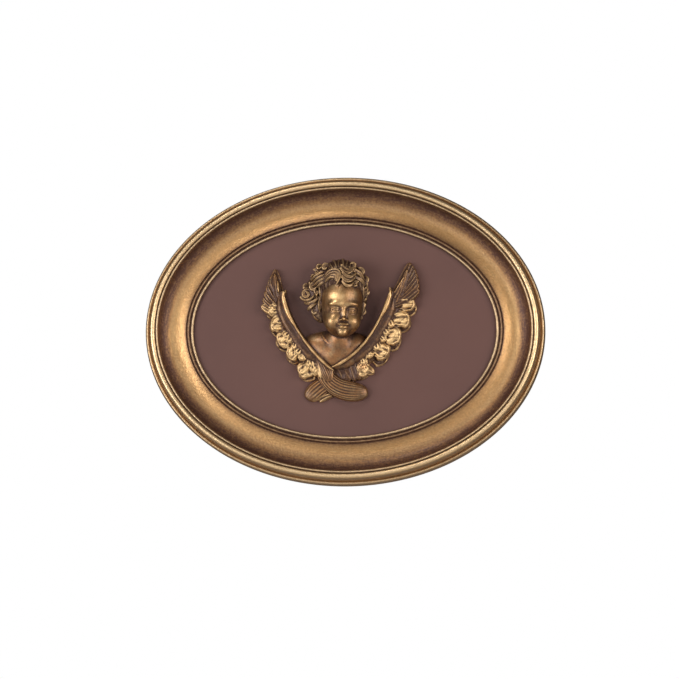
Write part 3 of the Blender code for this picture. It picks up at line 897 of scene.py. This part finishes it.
def addRosette(shape):
    # a small dome with a rod wound over it as a spiral
    x, height, z = shape["place"]
    radius = shape["radius"]
    u = np.linspace(0, 1, 90)
    path = spiral(x, height + shape["rise"] * u, z, radius * (1 - 0.9 * u), 2 * math.pi * shape["rounds"] * u)
    addForm(tubeForm(path, shape["rod"] - 0.12 * u), feathersLook["rosette"])
    down = np.linspace(0.05, math.pi - 0.05, 24)[:, None]
    ring = circle(36)
    ball = np.stack([x + radius * np.sin(down) * np.cos(ring), height + shape["dome"] * np.cos(down) + 0 * ring,
                     z + radius * np.sin(down) * np.sin(ring)], 2)
    addForm(ball, feathersLook["lobeStem"])


addWing(rightWing)
for fan in lowFans:
    addLowFan(*fan)
addLeaves(leavesBelow, 0.3, 0.7, 0.6)
addRosette(rosetteShape)
addWing(leftWing)
addLeaves(leavesAbove, 0.2, 0.85, 0.62)
print("feathers:", pile["count"], "points")


# head and body: skins found along rays, where a smooth blend of egg forms is zero

headPlace = {
    "chin": (-1.6, -4.9),
    "axis": 16.55,
    "turn": 10.0,
    "tilt": 2.0,
}


def headToPlaque(points):
    # from the head's own (side, forward, up) to (x, height, z): turned, tilted, then put in place
    turn = math.radians(headPlace["turn"])
    tilt = math.radians(headPlace["tilt"])
    side = points[..., 0] * math.cos(turn) + points[..., 1] * math.sin(turn)
    forward = -points[..., 0] * math.sin(turn) + points[..., 1] * math.cos(turn)
    x = side * math.cos(tilt) + points[..., 2] * math.sin(tilt)
    z = -side * math.sin(tilt) + points[..., 2] * math.cos(tilt)
    return np.stack([x + headPlace["chin"][0], forward + headPlace["axis"], z + headPlace["chin"][1]], -1)


def eggField(points, centre, radii):
    # about the distance to an egg form, below zero inside it
    offset = points - np.asarray(centre)
    near = np.linalg.norm(offset / np.asarray(radii), axis=-1)
    steep = np.linalg.norm(offset / np.asarray(radii) ** 2, axis=-1)
    return near * (near - 1) / np.maximum(steep, 1e-6)


def melt(first, second, soft):
    # the lower of two fields, with a rounded seam
    h = np.maximum(soft - np.abs(first - second), 0.0) / soft
    return np.minimum(first, second) - h * h * soft / 4


def carve(field, tool, soft):
    # a field with a tool's form taken out of it, with a rounded rim
    return -melt(-field, tool, soft)


# an evenly built child's face, the same on both sides: (side, forward, up), radii, softness of its seam
faceForms = (
    ((0.0, -0.5, 22.5), (11.7, 11.4, 13.4), 1.0),
    ((0.0, 0.9, 12.0), (10.7, 8.4, 12.0), 4.0),
    ((5.0, 5.2, 8.4), (4.5, 4.7, 4.7), 3.0),
    ((0.0, 6.9, 2.6), (3.2, 2.9, 2.5), 1.8),
    ((0.0, 6.2, 6.2), (3.9, 3.7, 3.2), 2.0),
    ((4.3, 8.0, 17.7), (3.8, 2.2, 1.5), 2.4),
    ((0.0, 8.6, 12.6), (1.25, 2.0, 4.2), 1.5),
    ((0.0, 10.5, 9.5), (1.65, 1.9, 1.45), 0.9),
    ((1.6, 9.6, 9.0), (1.0, 1.3, 0.9), 0.6),
)
faceHollows = (
    ((4.3, 10.3, 14.7), (2.7, 2.6, 1.7), 1.4),
    ((3.6, 10.4, 5.6), (0.8, 1.6, 1.2), 0.9),
    ((0.0, 11.2, 3.95), (2.0, 1.7, 0.7), 0.9),
    ((0.0, 11.3, 7.9), (0.5, 1.1, 0.9), 0.5),
    ((0.95, 11.0, 8.2), (0.5, 1.3, 0.4), 0.3),
)
lipForms = (
    ((0.9, 9.35, 6.75), (2.1, 1.15, 0.72), 0.4),
    ((0.0, 9.2, 5.25), (2.1, 1.25, 0.95), 0.4),
)
eyeShape = {
    "centre": (4.2, 6.75, 14.45),
    "ball": 2.45,
    "lid": (2.95, 2.8, 2.6),
    "opening": 0.85,
    "corner": 2.5,
    "shrink": 0.4,
    "slitSoft": 0.25,
    "lidSoft": 0.7,
    "ballSoft": 0.12,
}
mouthLine = {"centre": (0.0, 10.8, 6.05), "radii": (3.1, 1.5, 0.26), "soft": 0.3, "curve": 0.05}


def blendForms(points, forms, field=None):
    # egg forms melted together one after the other, each with its own softness
    for centre, radii, soft in forms:
        egg = eggField(points, centre, radii)
        field = egg if field is None else melt(field, egg, soft)
    return field


def faceField(points):
    # both sides alike: forms melted together, hollows carved out, then lids, eyeballs and lips laid on
    p = points.copy()
    p[..., 0] = np.abs(p[..., 0])
    field = blendForms(p, faceForms) + eyeShape["shrink"]
    for centre, radii, soft in faceHollows:
        field = carve(field, eggField(p, centre, radii), soft)
    # lids: a shell round the eyeball, opened along an almond
    centre = np.asarray(eyeShape["centre"])
    beside = (p[..., 0] - centre[0]) / eyeShape["corner"]
    slit = np.abs(p[..., 2] - centre[2] + 0.1 * beside) - eyeShape["opening"] * (1 - beside ** 2)
    lids = carve(eggField(p, centre, eyeShape["lid"]), slit, eyeShape["slitSoft"])
    field = melt(field, lids, eyeShape["lidSoft"])
    field = blendForms(p, ((centre, (eyeShape["ball"],) * 3, eyeShape["ballSoft"]),) + lipForms, field)
    # the mouth's line curves up towards its corners
    line = p.copy()
    line[..., 2] = line[..., 2] - mouthLine["curve"] * p[..., 0] ** 2
    return carve(field, eggField(line, mouthLine["centre"], mouthLine["radii"]), mouthLine["soft"])


# the body: (x, height, z), radii, softness of the seam
bodyForms = (
    ((-4.8, 7.4, -11.0), (18.6, 8.4, 11.6), 1.0),
    ((-3.0, 12.0, -4.0), (6.4, 6.0, 7.5), 2.5),
    ((-14.8, 8.0, -7.0), (7.4, 5.0, 4.8), 3.0),
    ((6.3, 8.0, -6.8), (7.2, 5.0, 4.8), 3.0),
    ((-5.6, 10.0, -13.5), (5.6, 5.0, 6.6), 3.0),
    ((-5.0, 8.6, -20.6), (7.0, 1.8, 5.4), 2.0),
)


def bodyField(points):
    # chest, neck and shoulders in one
    return blendForms(points, bodyForms)


def skinForm(centre, field, pole, rows, columns, reach):
    # rays from a centre, out from a pole along z (2) or the height (1); on each the crossing of the
    # field through zero
    down = np.linspace(0.012, math.pi - 0.012, rows)[:, None]
    around = circle(columns)[None, :]
    ray = np.stack([np.sin(down) * np.cos(around), np.sin(down) * np.sin(around),
                    np.cos(down) + 0 * around], 2)
    if pole == 1:
        ray = ray[:, :, [0, 2, 1]]
    centre = np.asarray(centre)
    far = crossing(ray.shape[:2], 0.5, reach, 17, lambda r: field(centre + ray * r[:, :, None]) < 0)
    return centre + ray * far[:, :, None]


def groundUnder(field, flat):
    # the height of a skin over points (x, z)
    return crossing(len(flat), 8.0, 30.0, 18, lambda h: field(np.stack([flat[:, 0], h, flat[:, 1]], 1)) < 0)


# rays for the skins: pole, rows, columns and the farthest reach
faceRays = (2, 210, 300, 26.0)
bodyRays = (1, 110, 160, 26.0)
capRays = (2, 120, 260, 20.0)
massRays = (2, 40, 60, 16.0)
neckFold = {"curve": ((-12.4, -1.4), (-11.4, -4.4), (-9.8, -6.6), (-7.0, -8.2)), "thick": 0.7, "sunk": 0.35}

# painted highlights on the face, laid as spots where the glaze is wiped thin: (side, up), half widths of the
# bell curve, strength
wiped = (
    ((-3.8, 20.6), (3.9, 4.0), 1.10), ((-5.4, 10.0), (2.8, 2.8), 0.60), ((4.0, 9.8), (2.4, 2.4), 0.50),
    ((0.0, 11.5), (1.2, 4.5), 0.45), ((0.2, 3.2), (2.6, 2.0), 0.50), ((0.0, 5.6), (2.0, 0.9), 0.3),
    ((0.0, 17.4), (6.5, 1.2), 0.25),
)

skinLook = {
    "face": (0.74, 0.20, 0.02),
    # the painted highlight: little glaze and pale dry brushing
    "facePaintedHighlight": (-0.04, 0.0, 0.40),
    "body": (0.72, 1.0, 0.06),
    "hair": (0.98, 0.20, 0.60),
    "strand": (0.80, 0.20, 0.40),
    "ear": (0.85, 0.1, 0.0),
}


def faceFinishAndHighlights(points):
    # from the plain face finish towards the wiped one, which paints the highlights, by bell curves round each
    # spot
    share = np.zeros(points.shape[:2])
    for (side, up), (wide, tall), strength in wiped:
        spot = ((points[..., 0] - side) / wide) ** 2 + ((points[..., 2] - up) / tall) ** 2
        share = share + strength * np.exp(-spot)
    share = np.clip(share, 0, 1)[..., None]
    return np.asarray(skinLook["face"]) * (1 - share) + np.asarray(skinLook["facePaintedHighlight"]) * share


face = skinForm((0.0, 0.0, 13.5), faceField, *faceRays)
addForm(headToPlaque(face), faceFinishAndHighlights(face))
addForm(skinForm((-4.6, 8.0, -9.0), bodyField, *bodyRays), skinLook["body"])
print("head and body:", pile["count"], "points")


# hair: a grooved cap, locks over the crown, curls and locks round the face, masses that they lie on

cap = {
    # an egg form in the head's own (side, forward, up), with grooves
    "centre": (0.3, -2.8, 27.6),
    "radii": (12.6, 11.8, 13.6),
    "groove": 0.16,
}
looseCurls = (
    # x, height, z, radius, thickness, start, turn
    (-20.2, 14.0, 19.2, 3.1, 1.25, 200, 620),
    (-16.2, 16.0, 22.6, 2.5, 1.38, 20, 330),
    (-13.4, 16.0, 33.4, 1.4, 1.25, 10, 300),
    (-14.8, 15.6, 31.0, 1.4, 1.25, 150, -300),
    (-12.0, 17.2, 32.4, 1.3, 1.25, 250, 300),
    (-16.6, 14.6, 28.4, 1.5, 1.25, 250, 300),
    (-17.6, 13.4, 25.2, 1.7, 1.25, 100, -320),
    (-20.6, 12.4, 23.2, 1.5, 1.12, 60, 300),
    (-13.6, 17.0, 18.6, 2.2, 1.38, 280, 300),
    (-17.0, 13.2, 15.6, 2.1, 1.25, 100, -330),
    (-15.6, 13.0, 9.8, 1.6, 1.25, 80, 300),
    (6.6, 22.8, 23.4, 1.4, 1.38, 40, 300),
    (9.2, 18.4, 30.6, 1.7, 1.38, 120, -330),
    (11.2, 16.4, 22.6, 1.7, 1.38, 40, 330),
    (12.3, 14.6, 19.6, 1.5, 1.25, 220, -330),
    (11.2, 15.0, 16.6, 1.6, 1.25, 40, 330),
    (10.0, 14.2, 13.2, 1.5, 1.25, 220, 330),
    (9.6, 13.0, 9.6, 1.4, 1.25, 40, -330),
    (8.6, 12.6, 6.8, 1.3, 1.12, 140, 330),
    (11.4, 15.6, 26.4, 1.8, 1.38, 160, -360),
    (4.8, 20.0, 34.2, 1.9, 1.38, 200, 330),
    (-9.8, 18.6, 33.2, 1.7, 1.38, 20, 330),
)
locks = (
    # control points (x, height, z), thickness, strands
    (((-9.6, 22.0, 28.0), (-7.6, 24.95, 33.2), (0.8, 26.35, 32.4),
      (-0.9, 27.75, 27.4), (-3.4, 27.95, 23.2)), 1.04, 3),
    (((-9.6, 22.4, 27.0), (-7.2, 25.35, 31.0), (-0.8, 26.75, 31.0),
      (-2.0, 27.75, 27.4), (-3.8, 27.75, 24.6)), 0.92, 3),
    (((-9.6, 22.6, 25.8), (-7.2, 25.75, 29.2), (-2.4, 26.95, 29.6),
      (-3.0, 27.35, 26.8), (-4.4, 27.35, 25.4)), 0.88, 3),
    (((-9.6, 22.6, 24.8), (-7.8, 25.35, 27.4), (-5.2, 26.35, 28.0), (-4.2, 26.75, 26.4)), 0.81, 3),
    (((-0.8, 25.35, 34.0), (2.4, 25.75, 28.0), (6.6, 23.6, 33.6)), 1.22, 4),
    (((-1.4, 25.95, 32.4), (1.8, 26.55, 26.6), (6.0, 24.55, 31.8)), 1.16, 4),
    (((-0.2, 26.55, 30.0), (3.0, 27.15, 24.6), (7.2, 24.55, 29.6)), 1.22, 4),
    (((-0.8, 27.15, 28.0), (2.6, 27.75, 22.0), (6.6, 25.15, 27.4)), 1.28, 4),
    (((-0.4, 27.35, 25.2), (2.8, 27.95, 19.8), (5.8, 25.55, 24.4)), 1.04, 3),
    (((3.0, 23.6, 32.4), (6.6, 24.35, 30.6), (10.6, 21.0, 29.2), (10.4, 19.6, 25.4)), 1.52, 4),
    (((5.6, 22.6, 27.4), (8.6, 22.0, 26.8), (11.4, 18.8, 25.0), (10.6, 18.4, 22.6)), 1.22, 4),
    (((-17.4, 16.0, 26.4), (-15.8, 19.4, 28.4), (-13.0, 20.4, 30.0), (-10.6, 20.4, 30.8)), 0.92, 3),
    (((-17.0, 16.2, 24.8), (-15.0, 20.0, 26.8), (-12.2, 21.4, 28.4), (-9.8, 21.4, 29.0)), 0.92, 3),
    (((-16.2, 16.6, 23.4), (-14.0, 20.2, 25.2), (-11.4, 21.8, 26.8), (-9.4, 21.6, 27.2)), 0.92, 3),
    (((-15.0, 17.0, 22.2), (-13.0, 20.2, 23.6), (-10.8, 21.6, 25.4), (-9.6, 21.0, 25.2)), 0.85, 3),
    (((-23.6, 12.6, 18.0), (-21.6, 14.6, 14.6), (-17.6, 15.4, 15.8), (-16.0, 16.0, 18.6)), 0.76, 3),
    (((-19.6, 13.4, 10.8), (-18.0, 15.2, 12.4), (-17.2, 15.6, 12.6), (-14.8, 15.6, 14.2)), 1.16, 4),
    (((-21.4, 12.6, 14.8), (-18.6, 14.6, 13.4), (-15.8, 16.0, 15.0), (-13.4, 16.8, 17.4)), 1.04, 3),
    (((-13.6, 16.4, 24.0), (-11.8, 20.0, 22.4), (-12.8, 18.8, 18.6), (-11.8, 17.8, 15.6)), 1.22, 4),
    (((-16.8, 14.6, 23.0), (-15.0, 18.4, 22.4), (-15.4, 17.6, 19.0), (-14.0, 16.6, 16.2)), 1.16, 4),
    (((-12.8, 15.6, 17.6), (-12.6, 17.6, 14.6), (-13.6, 16.2, 11.6), (-12.6, 14.6, 8.8)), 1.22, 4),
    (((10.8, 16.8, 26.0), (12.8, 16.6, 22.8), (11.4, 16.2, 19.6), (12.0, 14.8, 16.4)), 1.46, 4),
    (((9.6, 18.6, 24.4), (10.6, 18.8, 21.0), (9.8, 17.4, 18.0), (10.4, 16.2, 15.0)), 1.16, 4),
    (((10.4, 14.8, 15.6), (10.2, 15.8, 12.4), (9.8, 14.4, 9.6), (8.4, 13.2, 6.6)), 1.34, 4),
)
hairMasses = (
    # (x, height, z), radii: what the side curls lie on
    ((-12.6, 11.2, 13.0), (5.0, 4.6, 9.0)),
    ((-15.4, 12.2, 21.6), (5.2, 4.0, 7.4)),
    ((9.6, 12.6, 18.0), (2.8, 3.2, 8.6)),
)
crownLocks = {
    "centre": (0.3, -2.6, 27.2),
    "radii": (12.4, 12.2, 13.8),
    # rise over the brow in degrees, number of locks side by side and thickness, for each row
    "rows": ((36, 9, 1.5), (58, 9, 1.6), (82, 8, 1.6), (112, 8, 1.6), (140, 9, 1.6)),
    "spread": 84,
    "seed": 7,
}
crownTop = {"count": 6, "first": -7.2, "step": 2.3, "middle": -1.5, "fall": 0.05, "thick": 1.65, "swing": 1.1}
ear = {
    "curve": ((-15.6, 12.6, 10.6), (-17.6, 13.4, 12.4), (-17.0, 13.6, 6.4), (-14.0, 13.0, 5.6)),
    "thick": 0.8,
}
# depth and twist of the grooves between strands; winding, rise and thinning of a curl
lockShape = {"groove": 0.30, "twist": 1.5}
curlShape = {"groove": 0.26, "twist": 1.0, "strands": 4, "inward": 0.74, "rise": 1.6, "thinner": 0.3}


def addLock(controls, thick, strands, look="strand"):
    # a lock thins towards both ends and its strands twist a little
    u = np.linspace(0, 1, 44)
    radius = thick * (0.2 + 0.8 * np.sin(math.pi * (0.14 + 0.84 * u)) ** 0.8)
    rod = tubeForm(onCurve(controls, u), radius, strands, lockShape["groove"], lockShape["twist"])
    addForm(rod, skinLook[look])


def addCurl(x, height, z, radius, thick, start, turn):
    # a lock that winds inwards to a quarter of its radius and rises towards its middle
    shape = curlShape
    u = np.linspace(0, 1, 64)
    angle = np.radians(start + turn * u)
    path = spiral(x, height + shape["rise"] * u, z, radius * (1 - shape["inward"] * u), angle)
    thinning = thick * (1 - shape["thinner"] * u)
    addForm(tubeForm(path, thinning, shape["strands"], shape["groove"], shape["twist"]), skinLook["strand"])


def hairCap(points):
    # the cap's egg form less or more a small wave: cos(46 * angle round the head), which wavers with height
    around = np.arctan2(points[..., 0], points[..., 1] + 14.0)
    waves = np.cos(46 * around + 1.4 * np.sin(0.7 * points[..., 2]))
    return eggField(points, cap["centre"], cap["radii"]) + cap["groove"] * waves


def addCrown(crown):
    # S-shaped locks laid over an egg form, row behind row from the brow to the back
    random = np.random.RandomState(crown["seed"])
    u = np.linspace(0, 1, 34)
    (x, y, z), (wide, deep, tall) = crown["centre"], crown["radii"]
    for degrees, count, thick in crown["rows"]:
        for k in range(count):
            share = (k + 0.5) / count * 2 - 1
            across = math.radians(crown["spread"] * share) + random.uniform(-0.05, 0.05)
            rise = (math.radians(degrees) + 0.55 * (u - 0.5)
                    + 0.05 * np.sin(2 * math.pi * u + random.uniform(0, 6)))
            swing = across + 0.20 * np.sin(2.2 * math.pi * u + random.uniform(0, 6)) + 0.25 * (u - 0.5)
            path = np.stack([x + wide * np.sin(swing), y + deep * np.cos(swing) * np.cos(rise),
                             z + tall * np.cos(swing) * np.sin(rise)], 1)
            radius = thick * (0.25 + 0.75 * np.sin(math.pi * u) ** 0.6)
            addForm(tubeForm(headToPlaque(path), radius, 4, 0.34, 1.2, 0.9), skinLook["hair"])


def addCrownTop(shape):
    # smooth locks side by side from the brow back over the top; a lock's height falls by
    # fall * (x - middle) ** 2, and it swings to one side and back
    for k in range(shape["count"]):
        x = shape["first"] + shape["step"] * k
        drop = shape["fall"] * (x - shape["middle"]) ** 2
        swing = shape["swing"] * math.sin(2.3 * k)
        controls = ((0.7 * x - 0.4, 22.8, 32.0), (x + swing, 21.0, 35.0 - drop),
                    (x - swing - 0.6, 17.2, 38.3 - drop), (1.1 * x + 0.5, 11.0, 36.2 - drop))
        addLock(controls, shape["thick"] * (1 - 0.15 * math.cos(2.9 * k)), 5, "hair")


def addMass(centre, radii):
    # a plain egg form of hair
    addForm(skinForm(centre, lambda p: eggField(p, centre, radii), *massRays), skinLook["hair"])


def addNeckFold(shape):
    # a soft rod pressed into the skin of the neck
    flat = onCurve(shape["curve"], np.linspace(0, 1, 40))
    lying = np.stack([flat[:, 0], groundUnder(bodyField, flat) - shape["sunk"], flat[:, 1]], 1)
    addForm(tubeForm(lying, shape["thick"] * np.sin(np.linspace(0.4, 2.9, 40))), skinLook["body"])


addForm(headToPlaque(skinForm(cap["centre"], hairCap, *capRays)), skinLook["hair"])
for curl in looseCurls:
    addCurl(*curl)
for lock in locks:
    addLock(*lock)
addCrown(crownLocks)
addCrownTop(crownTop)
addForm(tubeForm(onCurve(ear["curve"], np.linspace(0, 1, 30)), ear["thick"] * np.ones(30)), skinLook["ear"])
for mass in hairMasses:
    addMass(*mass)
addNeckFold(neckFold)
print("hair:", pile["count"], "points")


def finishLayer(mesh, values):
    # the finish of every vertex, as a colour
    layer = mesh.color_attributes.new("finish", "FLOAT_COLOR", "POINT")
    colour = np.ones((len(values), 4), np.float32)
    colour[:, :3] = values
    layer.data.foreach_set("color", colour.ravel())


def sawFlat(mesh, height):
    # cuts away what lies behind a height and closes the back; gives the number of triangles
    work = bmesh.new()
    work.from_mesh(mesh)
    bmesh.ops.bisect_plane(work, geom=work.verts[:] + work.edges[:] + work.faces[:], dist=1e-7,
                           plane_co=(0, -height * mm, 0), plane_no=(0, 1, 0), clear_outer=True)
    rim = [e for e in work.edges if e.is_boundary]
    bmesh.ops.triangle_fill(work, edges=rim, use_beauty=True, normal=(0, 1, 0))
    bmesh.ops.triangulate(work, faces=work.faces)
    bmesh.ops.recalc_face_normals(work, faces=work.faces)
    work.to_mesh(mesh)
    count = len(work.faces)
    work.free()
    return count


def castCherub(shape):
    # one skin by voxels, flat behind, thinned to the most triangles, with the finish carried over
    forms = toMesh("forms", np.concatenate(pile["points"]), pile["faces"])
    finishLayer(forms.data, np.concatenate(pile["finish"]))
    cast = addObject("cast_cherub", forms.data.copy())
    skin = cast.modifiers.new("one skin", "REMESH")
    skin.mode = "VOXEL"
    skin.voxel_size = shape["voxel"] * mm
    applyModifiers(cast)
    count = sawFlat(cast.data, shape["back"])
    if count > shape["mostTriangles"]:
        thin = cast.modifiers.new("thinned", "DECIMATE")
        thin.ratio = shape["mostTriangles"] / count
    carry = cast.modifiers.new("finish", "DATA_TRANSFER")
    carry.object = forms
    carry.use_vert_data = True
    carry.data_types_verts = {"COLOR_VERTEX"}
    carry.vert_mapping = "POLYINTERP_NEAREST"
    finishLayer(cast.data, np.zeros((len(cast.data.vertices), 3)))
    applyModifiers(cast)
    bpy.data.objects.remove(forms)
    return cast


def keepOneShell(mesh):
    # every vertex takes the lowest number among its neighbours until each shell has one number
    edges = readAll(mesh.edges, "vertices", 2, np.int64)
    label = np.arange(len(mesh.vertices))
    while True:
        low = np.minimum(label[edges[:, 0]], label[edges[:, 1]])
        new = label.copy()
        np.minimum.at(new, edges[:, 0], low)
        np.minimum.at(new, edges[:, 1], low)
        new = new[new]
        if (new == label).all():
            break
        label = new
    numbers, counts = np.unique(label, return_counts=True)
    if len(numbers) == 1:
        return
    work = bmesh.new()
    work.from_mesh(mesh)
    work.verts.ensure_lookup_table()
    loose = np.flatnonzero(label != numbers[counts.argmax()])
    bmesh.ops.delete(work, geom=[work.verts[int(i)] for i in loose], context="VERTS")
    work.to_mesh(mesh)
    work.free()
    print("small shells taken away:", len(numbers) - 1)


def averageRound(values, edges, share, total):
    # each vertex moves halfway to the mean of its neighbours
    moved = np.zeros_like(values)
    for axis in range(values.shape[1]):
        moved[:, axis] = (np.bincount(edges[:, 0], values[edges[:, 1], axis], total)
                          + np.bincount(edges[:, 1], values[edges[:, 0], axis], total))
    return values * 0.5 + moved * 0.5 / share[:, None]


patinaAndShadeRule = {
    # dark per millimetre of fine and wide hollows, and painted shade per millimetre of ground sunk in the map;
    # what comes off on fine and wide crests, up to so many millimetres
    "fineHollow": 3.6,
    "wideHollow": 0.75,
    "crest": 3.0,
    "wideCrest": 0.25,
    "fineMost": 0.25,
    "wideMost": 1.0,
    # painted shade on ground that lies sunk under the forms around it
    "sunk": 0.075,
    # rounds of smoothing for fine relief, more for wide relief, and for the finish
    "rounds": (6, 34),
    "finishRounds": 3,
    # the map of the highest ground: cell, half side, number of cells, rounds of blurring
    "map": (0.8, 60, 160, 5),
}


def underGround(places, plan):
    # how far each point lies under the highest ground within a few millimetres: the depth that the painted
    # shade follows
    cell, half, cells, rounds = plan
    column, row = ((places[:, [0, 2]] + half) / cell).astype(int).T
    ground = np.full((cells, cells), castShape["back"])
    np.maximum.at(ground, (column, row), places[:, 1])
    for axis in (0, 1) * rounds:
        ground = (np.roll(ground, 1, axis) + 2 * ground + np.roll(ground, -1, axis)) / 4
    return np.maximum(ground[column, row] - places[:, 1], 0.0)


def patinateAndShade(cast, rule):
    # glaze = the form's own dark, more in hollows, less on crests, plus painted shade on low ground; fine and
    # wide relief are how far a point stands out of the skin smoothed a little and a lot
    mesh = cast.data
    total = len(mesh.vertices)
    edges = readAll(mesh.edges, "vertices", 2, np.int64)
    share = np.maximum(np.bincount(edges.ravel(), minlength=total), 1)
    places = placesOf(mesh)
    normals = readAll(mesh.vertices, "normal", 3) * facing
    smooth = places.copy()
    reliefs = []
    for rounds in rule["rounds"]:
        for _ in range(rounds):
            smooth = averageRound(smooth, edges, share, total)
        reliefs.append(((places - smooth) * normals).sum(1))
    fine, wide = reliefs
    colour = readAll(mesh.color_attributes["finish"].data, "color", 4, np.float32)[:, :3].astype(float)
    for _ in range(rule["finishRounds"]):
        colour = averageRound(colour, edges, share, total)
    # the last term is painted shade: the dark of deep recesses between the forms
    dark = (colour[:, 0] - rule["fineHollow"] * np.minimum(fine, 0) - rule["wideHollow"] * np.minimum(wide, 0)
            - rule["crest"] * np.clip(fine, 0, rule["fineMost"])
            - rule["wideCrest"] * np.clip(wide, 0, rule["wideMost"])
            + rule["sunk"] * underGround(places, rule["map"]))
    writeAttribute(mesh, "glazeAndShade", np.clip(dark, 0, 1))
    writeAttribute(mesh, "copper", colour[:, 1])
    writeAttribute(mesh, "brushed", colour[:, 2])
    mesh.color_attributes.remove(mesh.color_attributes["finish"])
    print("glaze from and to:", np.percentile(dark, (5, 95)).round(2))


castLook = {
    "gold": (0.40, 0.215, 0.080),
    "pale": (0.87, 0.60, 0.29),
    "umber": (0.062, 0.029, 0.018),
    "red": (0.52, 0.235, 0.085),
    "tints": (("copper", "red"), ("brushed", "pale")),
    "dulling": ("brushed", 0.30),
    "polish": 0.30,
    "dull": 0.54,
    "streaks": (260.0, 4.0, 0.6),
    "streaksAlong": None,
    "specks": (1100.0, 3.0, 0.6),
    "breakUp": 0.55,
    "grain": 0.00005,
    "grainStrength": 0.5,
    "varnish": 0.18,
    "varnishRoughness": 0.22,
}

cherub = castCherub(castShape)
keepOneShell(cherub.data)
patinateAndShade(cherub, patinaAndShadeRule)
cherub.data.materials.clear()
cherub.data.materials.append(goldMaterial("aged gold casting", castLook))
cherub.data.shade_smooth()
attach(cherub, "root")
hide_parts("cherub")
print("cherub:", len(cherub.data.polygons), "faces")


# camera, light and floor

cameraPlan = {
    "azimuth": 3.1,
    "elevation": -5.35,
    "distance": 2.2,
    "aimHeight": 4.0,
    "pixelsPerMm": 1.8535,
    "picture": 679,
    "plaqueAt": (345.1, 331.4),
    "sensor": 36.0,
    "clipEnd": 50.0,
}


def makeCamera(plan):
    # aimed past the plaque so that its middle falls on plaqueAt in the picture
    az, el = math.radians(plan["azimuth"]), math.radians(plan["elevation"])
    back = np.array([math.sin(az) * math.cos(el), -math.cos(az) * math.cos(el), math.sin(el)])
    right = np.array([math.cos(az), math.sin(az), 0.0])
    pixel = mm / plan["pixelsPerMm"]
    middle = plan["picture"] / 2
    offRight = (plan["plaqueAt"][0] - middle) * pixel
    offUp = (middle - plan["plaqueAt"][1]) * pixel
    aim = np.array([0.0, -plan["aimHeight"] * mm, 0.0]) - right * offRight - np.cross(back, right) * offUp
    data = bpy.data.cameras.new("camera")
    data.sensor_width = plan["sensor"]
    data.lens = plan["sensor"] * plan["distance"] / (plan["picture"] * pixel)
    data.clip_end = plan["clipEnd"]
    camera = addObject("camera", data)
    camera.location = aim + back * plan["distance"]
    camera.rotation_euler = (math.pi / 2 - el, 0.0, az)
    bpy.context.scene.camera = camera


lightPlan = {
    # name: (place, width, height, watts, colour), all aimed at the plaque
    "left box": ((-1.25, -1.16, -0.04), 1.15, 0.80, 20.5, (0.97, 0.98, 1.02)),
    "right box": ((1.29, -1.10, 0.08), 1.15, 0.80, 19.0, (1.0, 0.98, 0.97)),
    "front box": ((-0.10, -1.70, 0.02), 1.20, 0.35, 3.2, (1.0, 0.99, 0.98)),
    "top box": ((-0.45, -1.06, 1.24), 0.50, 0.45, 8.5, (1.0, 0.98, 0.96)),
}


def makeLights(plan):
    # lit rectangles that face the plaque
    for name, (place, width, height, watts, colour) in plan.items():
        data = bpy.data.lights.new(name, "AREA")
        data.shape = "RECTANGLE"
        data.size = width
        data.size_y = height
        data.energy = watts
        data.color = colour
        lamp = addObject(name, data)
        lamp.location = place
        lamp.rotation_euler = (-lamp.location).to_track_quat("-Z", "Y").to_euler()


roomLook = {
    "low": (0.03, 0.032, 0.04),
    "high": (0.12, 0.125, 0.15),
    "strength": 0.5,
    "floor": (0.82, 0.81, 0.79),
    "floorRoughness": 0.9,
    "floorSize": 12.0,
    "floorDown": 0.75,
    "riseFrom": -0.6,
    "riseTo": 0.8,
}


def makeWorld(look):
    # white behind the plaque, a softer grey room for everything that lights or mirrors in it
    world = bpy.data.worlds.new("studio")
    bpy.context.scene.world = world
    world.use_nodes = True
    tree = world.node_tree
    split = tree.nodes.new("ShaderNodeSeparateXYZ")
    feed(tree, split, {0: tree.nodes.new("ShaderNodeTexCoord").outputs["Generated"]})
    rise = mapRange(tree, split.outputs["Z"], look["riseFrom"], look["riseTo"])
    grey = mixColour(tree, rise, look["low"], look["high"])
    room = tree.nodes["Background"]
    feed(tree, room, {"Color": grey, "Strength": look["strength"]})
    plain = tree.nodes.new("ShaderNodeBackground")
    feed(tree, plain, {"Color": (1.0, 1.0, 1.0)})
    seen = tree.nodes.new("ShaderNodeLightPath").outputs["Is Camera Ray"]
    mix = tree.nodes.new("ShaderNodeMixShader")
    feed(tree, mix, {0: seen, 1: room.outputs[0], 2: plain.outputs[0]})
    feed(tree, tree.nodes["World Output"], {"Surface": mix.outputs[0]})


def makeFloor(look):
    # a wide pale floor far below the plaque
    bpy.ops.mesh.primitive_plane_add(size=look["floorSize"], location=(0, 0, -look["floorDown"]))
    floor = bpy.context.object
    floor.name = "floor"
    material, tree, shader = newMaterial("pale floor")[:3]
    feed(tree, shader, {"Base Color": look["floor"], "Roughness": look["floorRoughness"]})
    floor.data.materials.append(material)


makeCamera(cameraPlan)
makeLights(lightPlan)
makeWorld(roomLook)
makeFloor(roomLook)
bpy.context.scene.view_settings.view_transform = "Standard"
print("camera, lights and floor set")
